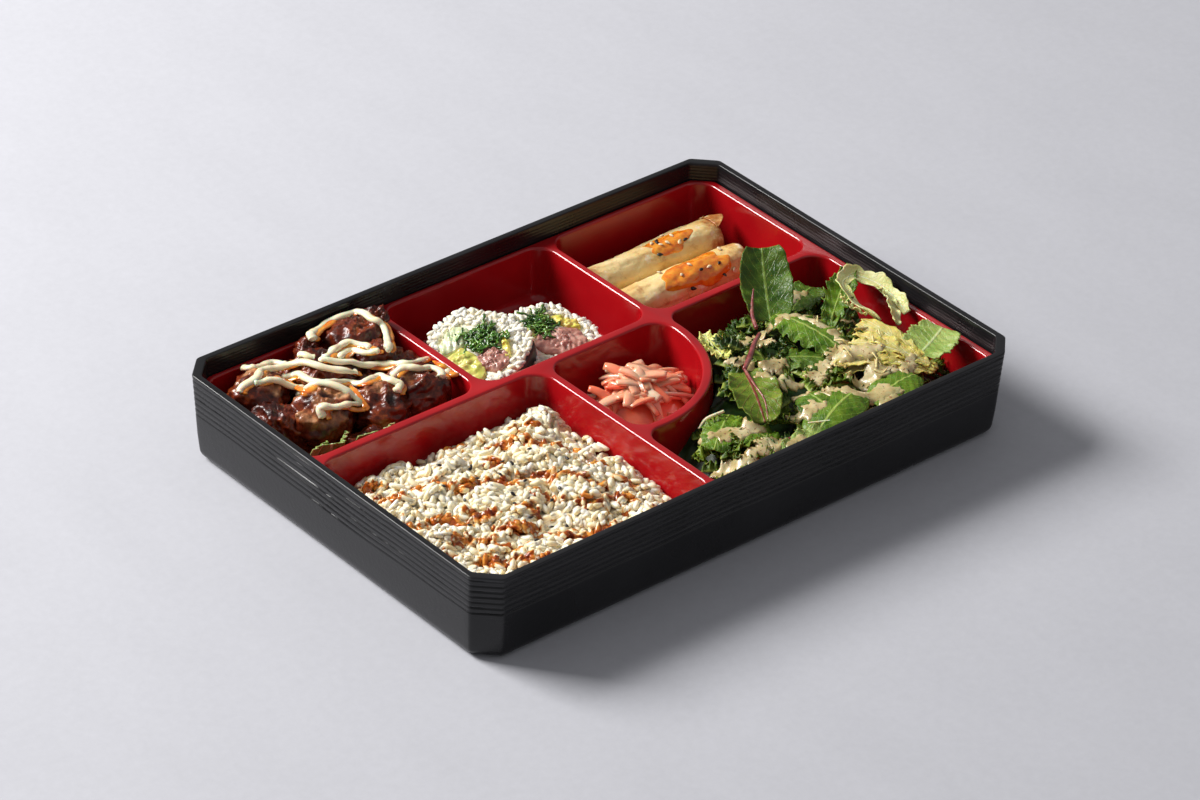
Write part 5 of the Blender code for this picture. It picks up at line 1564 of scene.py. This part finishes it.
def makeSlices():
    # for each slice: a rice body, a seaweed sheet round it, domed fillings, seaweed curls and separate grains
    vinegar = riceMaterial("vinegarRice")
    paints = {
        "avocado": fillingMaterial("avocado", ((0.42, 0.46, 0.06), (0.66, 0.60, 0.15), (0.82, 0.74, 0.34)), 90.0),
        "cucumber": fillingMaterial("cucumber", ((0.44, 0.54, 0.26), (0.66, 0.72, 0.46), (0.78, 0.82, 0.62)), 120.0),
        "fish": fillingMaterial(
            "cookedTuna", ((0.14, 0.045, 0.035), (0.42, 0.18, 0.14), (0.70, 0.44, 0.34)), 110.0, stretch=(1, 2.4, 1),
        ),
        "egg": fillingMaterial("omelette", ((0.42, 0.48, 0.05), (0.74, 0.62, 0.10), (0.84, 0.76, 0.30)), 160.0),
        # painted shade: the bed under the wakame curls is far darker than the curls and stands for the shadow between
        # them
        "bed": fillingMaterial("wakameShadeBed", ((0.010, 0.028, 0.006), (0.022, 0.055, 0.012), (0.05, 0.10, 0.02)), 260.0),
        "nori": fillingMaterial(
            "noriSheet", ((0.004, 0.006, 0.004), (0.009, 0.012, 0.009), (0.022, 0.028, 0.020)), 300.0, 0.42, 0.0,
        ),
    }
    wakame = fillingMaterial("wakame", ((0.012, 0.045, 0.005), (0.050, 0.14, 0.014), (0.20, 0.36, 0.06)), 170.0, 0.2)
    lumpsOn = {  # width and height shares, shift, turn, oval power, dome, roughness, seed
        "fish": ((0.55, 0.5, 2.2, 2.4, 50, 2.2, 1.8, 0.5, 31), (0.45, 0.42, -2.6, -1.8, -30, 2.2, 1.7, 0.5, 37)),
        "avocado": ((0.6, 0.34, 1.4, 0.45, 14, 2.6, 1.5, 0.4, 41),),
    }
    ovalPower, leftUnder, onFloor = 2.2, -13.2, 10.7
    leftCentre = np.array(makiShape["left"]["centre"], float)
    leftAxes = sliceAxes(makiShape["left"]["normal"])
    for sideIndex, (sideName, s) in enumerate(makiShape.items()):
        label, node = "sushi" + sideName.capitalize(), "maki_" + sideName + "_"
        maker = np.random.default_rng(70 + sideIndex)
        axes, centre = sliceAxes(s["normal"]), np.array(s["centre"], float)

        def place(points):
            # slice coordinates to the box: the right slice is cut where the left one leans, both rest on the floor
            world = points @ axes.T + centre
            if sideName == "right":
                local = (world - leftCentre) @ leftAxes
                under = insideOval(local[:, :2], (24.9, 28.9), (0, 0), 0, ovalPower) & (local[:, 2] > leftUnder)
                local[under, 2] = leftUnder
                world = local @ leftAxes.T + leftCentre
            world[:, 2] = np.maximum(world[:, 2], onFloor)
            limit = pocketInset(world[:, :2], pocketOutlines["maki"])
            low = world[:, 2] < trayShape["top"] + 0.5
            push = np.where(low, np.clip(wallRoom(world[:, 2], 0.4) - limit, 0, 6), 0)
            world[:, 1] += push * np.sign(73 - world[:, 1])
            return world

        points, faces = plugPart(s["half"], (0, 0), 0, ovalPower, s["thick"], 0.5, 0.35, 3 + sideIndex, 16, 90, 1.6)
        points[:, 2] -= 0.9
        values = {"sauce": np.zeros(len(points)), "tone": np.full(len(points), 0.6)}
        makePiece(label + "Body", place(points), faces, vinegar, [node + "rice"], values)
        around, sheet = 120, 0.5
        angle = np.arange(around) * 2 * math.pi / around
        reach = ovalReach(angle, (s["half"][0] + 0.25, s["half"][1] + 0.25), ovalPower) * ripple(angle, 3 + sideIndex)
        lip = -1.7 + 0.5 * np.sin(5 * angle) + 0.35 * np.sin(13 * angle + 1)
        levels = [lip, lip * 0.5 - s["thick"] * 0.4, np.full(around, 0.2 - s["thick"])]
        rings = []
        for gap, height in [(0.0, level) for level in levels] + [(sheet, level) for level in levels[::-1]]:
            rings.append(np.column_stack([(reach + gap) * np.cos(angle), (reach + gap) * np.sin(angle), height]))
        points, faces = stackRings(rings, False, True)
        makePiece(label + "Nori", place(points), [faces[0][:, ::-1]], paints["nori"], [node + "nori"])
        fillings = [kind for kind in ("avocado", "cucumber", "fish", "egg") if kind in s]
        for number, kind in enumerate(fillings):
            half, spot, turn, power = s[kind]
            parts = [plugPart(half, spot, turn, power, 5.0, 1.0, 0.55, 11 * number + sideIndex)]
            for wide, high, dx, dy, spin, bend, dome, rough, seed in lumpsOn.get(kind, ()):
                middle = (spot[0] + dx, spot[1] + (half[1] * dy if kind == "avocado" else dy))
                lump = (half[0] * wide, half[1] * high)
                parts.append(plugPart(lump, middle, turn + spin, bend, 4.0, dome, rough, seed))
            parts = [(place(points + [0, 0, 1.3]), faces) for points, faces in parts]
            makeJoined(label + kind.capitalize(), parts, paints[kind], [node + kind])
        half, spot, turn, power = s["seaweed"]
        points, faces = plugPart(half, spot, turn, power, 5.0, 0.5, 0.7, 51 + sideIndex)
        points = place(points + [0, 0, 0.8])
        # the dark bed gives painted shade in the gaps between the curls laid on it
        makePiece(label + "WakameShadeBed", points, faces, paints["bed"], [node + "seaweed"])
        curls = []
        for _ in range(46):
            heading, share = maker.uniform(0, 2 * math.pi), math.sqrt(maker.uniform(0, 1))
            x, y = half[0] * share * math.cos(heading), half[1] * share * math.sin(heading)
            stops = [np.array([spot[0] + x, spot[1] + y, 0.7])]
            way = maker.uniform(0, 2 * math.pi)
            for _ in range(4):
                way += maker.normal(0, 1.1)
                stops.append(stops[-1] + np.array([math.cos(way), math.sin(way), 0]) * 2.3)
            stops = np.array(stops)
            stops[:, 2] += maker.uniform(0.8, 2.8, len(stops))
            curls.append(tubePart(smoothPath(stops, 15), maker.uniform(0.45, 0.95), 5, 0.55))
        makeJoined(label + "Wakame", [(place(p), f) for p, f in curls], wakame)
        outline = np.column_stack([reach * np.cos(angle), reach * np.sin(angle)])
        spots = []
        for layer, (gap, lift) in enumerate(((3.0, -0.7), (4.4, 0.1))):
            flat = evenSpots(outline, gap, 80 + layer + 5 * sideIndex, 1.5)
            spots.append(np.column_stack([flat, np.full(len(flat), lift)]))
        spots = np.vstack(spots)
        keep = np.ones(len(spots), bool)
        for kind in fillings + ["seaweed"]:
            half, spot, turn, power = s[kind]
            keep &= ~insideOval(spots[:, :2], half, spot, turn, power, 1.9)
        spots = spots[keep] + maker.normal(0, 0.35, (keep.sum(), 3))
        rim = np.arange(0, 2 * math.pi, 3.4 / 26)
        reachRim = np.interp(rim, angle, reach) - 1.3
        edge = np.column_stack([reachRim * np.cos(rim), reachRim * np.sin(rim), maker.uniform(-1.2, -0.2, len(rim))])
        spots = np.vstack([spots, edge])
        count = len(spots)
        heading = maker.uniform(0, 2 * math.pi, count)
        forward = np.column_stack([np.cos(heading), np.sin(heading), maker.normal(0, 0.16, count)])
        grains = scatterShapes(
            [grainShape(5.8, 2.8), grainShape(5.0, 2.9, -0.06)], maker.integers(0, 2, count), spots,
            turnAxes(forward, np.tile([0, 0, 1.0], (count, 1))), maker.uniform(0.85, 1.1, (count, 1)),
            {"tone": maker.uniform(0.4, 1.0, count), "sauce": np.zeros(count)},
        )
        makePiece(label + "Grains", place(grains[0]), grains[1], vinegar, values=grains[2])
        print("sushi slice", sideName, "with", count, "grains")


makeSlices()

# spring rolls

rollShape = {
    "back": {
        "start": (66, 90.5, 21.2), "end": (156.5, 92, 21.2), "sauce": (0.46, 0.80, 40, 126), "seam": 150, "seed": 2,
    },
    "front": {
        "start": (65.5, 63, 21.2), "end": (152, 64, 21.2), "sauce": (0.33, 0.88, 8, 128), "seam": 160, "seed": 5,
    },
}
rollRadius = 10.4


def rollPoint(s, u, degrees, lift):
    # the wrapper's surface: an oval round the axis with soft bulges, wrinkles and one lapped edge
    start, end = np.array(s["start"], float), np.array(s["end"], float)
    axis = unit(end - start)
    side = unit(np.cross([0, 0, 1.0], axis))
    top = np.cross(axis, side)
    angle = np.radians(degrees)
    along = u * np.linalg.norm(end - start)
    seam = np.radians(s["seam"] + 16 * np.sin(along / 22 + s["seed"]) + 10 * (u - 0.5))
    past = np.mod(angle - seam, 2 * math.pi)
    lap = 0.75 * np.exp(-past * 0.9)
    radius = rollRadius + lap + 0.35 * np.sin(along / 13 + s["seed"]) + lift
    flat = np.stack([along / 9, 2.4 * np.cos(angle), 2.4 * np.sin(angle)], -1).reshape(-1, 3)
    crease = waveField(flat, s["seed"] + 20, 0.30, 2.4) + waveField(flat * [1.0, 3.0, 3.0], s["seed"] + 21, 0.16, 2.0)
    crease = crease + waveField(flat * 4, s["seed"] + 22, 0.07, 2.0)
    radius = radius + crease.reshape(np.shape(along + angle))
    across = -np.cos(angle) * 1.07
    outward = side * across[..., None] + top * np.sin(angle)[..., None]
    return start + axis * along[..., None] + outward * radius[..., None]


def rolledEnd(s, degrees, u, inward, steps):
    # an open end: rings shrinking to their middle while they step into the roll, each a little rippled
    ring = rollPoint(s, np.full(len(degrees), u), degrees, 0.0)
    middle, rings = ring.mean(0), []
    for depth, share in steps:
        inner = middle + (ring - middle) * share
        inner[:, 0] += inward * (depth + 0.5 * np.sin(np.radians(degrees) * 2 + share * 9))
        rings.append(inner)
    return rings


def wrapperMaterial():
    # straw mottled with toasted spots, browner towards the ends by the toast value
    made = newMaterial(
        "friedWrapper", (0.80, 0.62, 0.33), 0.36, Subsurface_Weight=0.2, Subsurface_Scale=0.003, Coat_Weight=0.15,
    )
    wires = Wiring(made)
    broad = wires.noise(38.0, 4.0)
    spots = wires.noise(120.0, 5.0, 0.65)
    base = wires.ramp(broad, [(0.3, (0.62, 0.36, 0.10)), (0.48, (0.78, 0.55, 0.22)), (0.7, (0.86, 0.71, 0.38))])
    toasted = wires.maths("ADD", spots, wires.maths("MULTIPLY", wires.value("toast"), 0.30))
    toast = wires.mix(wires.grey(toasted, 0.56, 0.78), base, (0.42, 0.15, 0.035))
    pale = wires.mix(wires.grey(spots, 0.42, 0.30), toast, (0.90, 0.80, 0.60))
    wires.finish(
        colour=pale, roughness=wires.grey(spots, 0.3, 0.7, 0.44, 0.28),
        normal=wires.bump(wires.mix(0.5, wires.noise(260.0, 4.0), wires.noise(720.0, 3.0)), 0.0005, 0.55),
    )
    return made


def makeRolls():
    # for each roll: the wrapper with tucked ends, a ragged sauce patch and seeds on it; flaps at one end of the back
    # roll only
    wrapper, around = wrapperMaterial(), 96
    glaze = sauceMaterial("sweetChili", ((0.66, 0.13, 0.006), (0.82, 0.25, 0.012), (0.90, 0.40, 0.035)), 0.08)
    for name, s in rollShape.items():
        degrees = np.arange(around) * 360 / around
        rings = rolledEnd(s, degrees, 0.0, 1, ((2.6, 0.12), (1.4, 0.42), (0.9, 0.62), (0.2, 0.80), (-0.2, 0.93)))
        for u in np.linspace(0.004, 0.996, 110):
            sunk = -0.5 * math.exp(-u * 40) - 0.5 * math.exp(-(1 - u) * 40)
            rings.append(rollPoint(s, np.full(around, u), degrees, sunk))
        rings += rolledEnd(s, degrees, 1.0, -1, ((-0.3, 0.93), (0.4, 0.80), (1.1, 0.62), (1.6, 0.42), (3.0, 0.12)))
        points, faces = stackRings(rings)
        points[:, 2] = np.maximum(points[:, 2], 10.7)
        share = (points[:, 0] - s["start"][0]) / (s["end"][0] - s["start"][0])
        toast = np.clip(1.6 * np.abs(share - 0.5) ** 2 * 4 - 0.75 + waveField(points, 9, 0.25, 12), 0, 1)
        made = [(points, [group[:, ::-1] for group in faces], {"toast": toast})]
        if name == "back":
            for first, last, far in ((60, 120, 9.0), (128, 200, 7.0)):
                share, out = np.meshgrid(np.linspace(0, 1, 22), np.linspace(0, 1, 12), indexing="ij")
                turns = first + (last - first) * share
                base = rollPoint(s, np.full(turns.shape, 0.985), turns, 0.25)
                reach = far * out * (1 - np.abs(2 * share - 1) ** 1.6 * 0.85)
                grid = base + np.stack([reach, 0 * reach, 0.9 * out**2 - 0.5 * out], 2)
                points, faces, _ = sheetPart(grid, 0.5)
                made.append((points, faces, {"toast": np.full(len(points), 0.8)}))
        makeJoined("springRoll" + name.capitalize(), made, wrapper, ["spring_roll_" + name])
        u0, u1, low, high = s["sauce"]
        rows, columns = 46, 60
        v, u = np.meshgrid(np.linspace(0, 1, rows), np.linspace(0, 1, columns), indexing="ij")
        a, b = 2 * u - 1, 2 * v - 1
        x, y = a * np.sqrt(1 - b * b / 2), b * np.sqrt(1 - a * a / 2)
        way, out = np.arctan2(y, x), np.hypot(x, y)
        ragged = 1 + 0.13 * np.sin(3 * way + s["seed"]) + 0.09 * np.sin(5 * way + 1) + 0.05 * np.sin(9 * way + 2)
        thick = -0.3 + 1.0 * np.sqrt(np.clip(1 - out**2, 0, 1)) ** 0.7
        thick = thick + waveField(np.stack([u * 22, v * 9], -1).reshape(-1, 2), 5, 0.10, 4.0).reshape(rows, columns)
        turns = (high + low) / 2 - (high - low) / 2 * y * ragged
        along = (u0 + u1) / 2 + (u1 - u0) / 2 * x * ragged
        points = np.vstack([rollPoint(s, along, turns, lift).reshape(-1, 3) for lift in (thick, -0.5)])
        makePiece("chiliPatch" + name.capitalize(), points, sheetFaces(rows, columns), glaze)
        maker = np.random.default_rng(s["seed"])
        for kind, dark, amount in (("Dark", True, 4), ("Light", False, 6)):
            uu = maker.uniform(u0 + 0.02, u1 - 0.02, amount)
            aa = maker.uniform(low + 8, high - 6, amount)
            spots = rollPoint(s, uu, aa, 0.9)
            normals = unit(rollPoint(s, uu, aa, 2.0) - spots)
            scatterSeeds("rollSeeds" + kind + name.capitalize(), spots, normals, dark, 7 + amount)
    print("spring rolls ready")


makeRolls()

# pickled ginger strips

pickleShape = {"centre": (22.0, -6.0), "reach": (31.0, 27.0), "height": 21.5, "floor": 10.6, "strips": 54}


def makePickles(s):
    # a low core dome under bent flat strips that lie across it, some with ends lifted or hanging down
    maker = np.random.default_rng(17)
    centre = np.array(s["centre"])

    def topOf(flat):
        # a dome over the oval reach, roughened in proportion to its height
        gap = (flat - centre) / s["reach"]
        fall = np.clip(1 - (gap**2).sum(1), 0, 1) ** 0.75
        return s["floor"] + s["height"] * fall + waveField(flat, 19, 1.0, 15) * fall

    angle = np.arange(60) * 2 * math.pi / 60
    outline = centre + np.column_stack([np.cos(angle), np.sin(angle)]) * s["reach"] * 0.86
    rings = []
    for share in np.linspace(0, 1, 20)[1:]:
        flat = centre + (outline - centre) * share
        rings.append(np.column_stack([flat, np.maximum(topOf(flat) - 3.6, s["floor"])]))
    rings.append(levelRing(outline, s["floor"] - 0.2))
    points, faces = stackRings(rings)
    paint = newMaterial(
        "pickledGinger", (0.88, 0.32, 0.16), 0.24, Subsurface_Weight=0.45, Subsurface_Scale=0.004, Coat_Weight=0.35,
        Coat_Roughness=0.08,
    )
    wires = Wiring(paint)
    tone = wires.value("tone")
    fibre = wires.noise(240.0, 3.0, source=wires.scaled((1, 1, 2.5)))
    body = wires.ramp(tone, [
        (0.0, (0.88, 0.15, 0.070)), (0.35, (0.95, 0.33, 0.18)), (0.7, (0.97, 0.50, 0.33)), (1.0, (0.97, 0.70, 0.52)),
    ])
    shade = wires.ramp(fibre, [(0.35, (0.92, 0.87, 0.85)), (0.65, (1.0, 1.0, 1.0))])
    wires.finish(colour=wires.mix(0.8, body, shade, "MULTIPLY"), normal=wires.bump(fibre, 0.0005, 0.5))
    faces = [group[:, ::-1] for group in faces]
    makePiece("pickleMound", points, faces, paint, ["pickles"], {"tone": np.full(len(points), 0.15)})
    parts = []
    limitOutline = pocketOutlines["pickle"]
    for index in range(s["strips"]):
        way = maker.normal(-0.9, 0.8) if index % 3 else maker.uniform(0, math.pi)
        length = maker.uniform(20, 33)
        spot = centre + maker.normal(0, 1, 2) * np.array(s["reach"]) * 0.38
        t = np.linspace(-0.5, 0.5, 18)
        bend, slope = maker.normal(0, 3.0), maker.normal(0, 0.26)
        flat = spot + np.outer(t * length, [math.cos(way), math.sin(way)])
        flat = flat + np.outer(bend * (t**2 - 0.1), [-math.sin(way), math.cos(way)])
        limit = pocketInset(flat, limitOutline)
        inward = unit(centre - flat)
        flat = flat + inward * np.clip(4.5 - limit, 0, None)[:, None]
        high = topOf(spot[None])[0] + maker.uniform(-1.5, 2.5)
        height = 0.45 * topOf(flat) + 0.55 * high + t * length * slope - 2.5 * t**2
        rise = np.array([maker.uniform(-1, 1), maker.uniform(-1, 1), 1.6])
        width = maker.uniform(2.3, 3.5) * (1 - 0.25 * np.abs(2 * t) ** 3)
        path = np.column_stack([flat, np.maximum(height, s["floor"] + 0.9)])
        points, faces = tubePart(path, width, 8, 0.42, rise, 0.55)
        parts.append((points, faces, {"tone": np.full(len(points), np.clip(maker.beta(2.0, 1.9), 0, 1))}))
    points, faces, values = joinParts(parts)
    points[:, 2] = np.maximum(points[:, 2], s["floor"])
    makePiece("gingerStrips", points, faces, paint, values=values)
    print("pickles:", s["strips"], "strips")


makePickles(pickleShape)
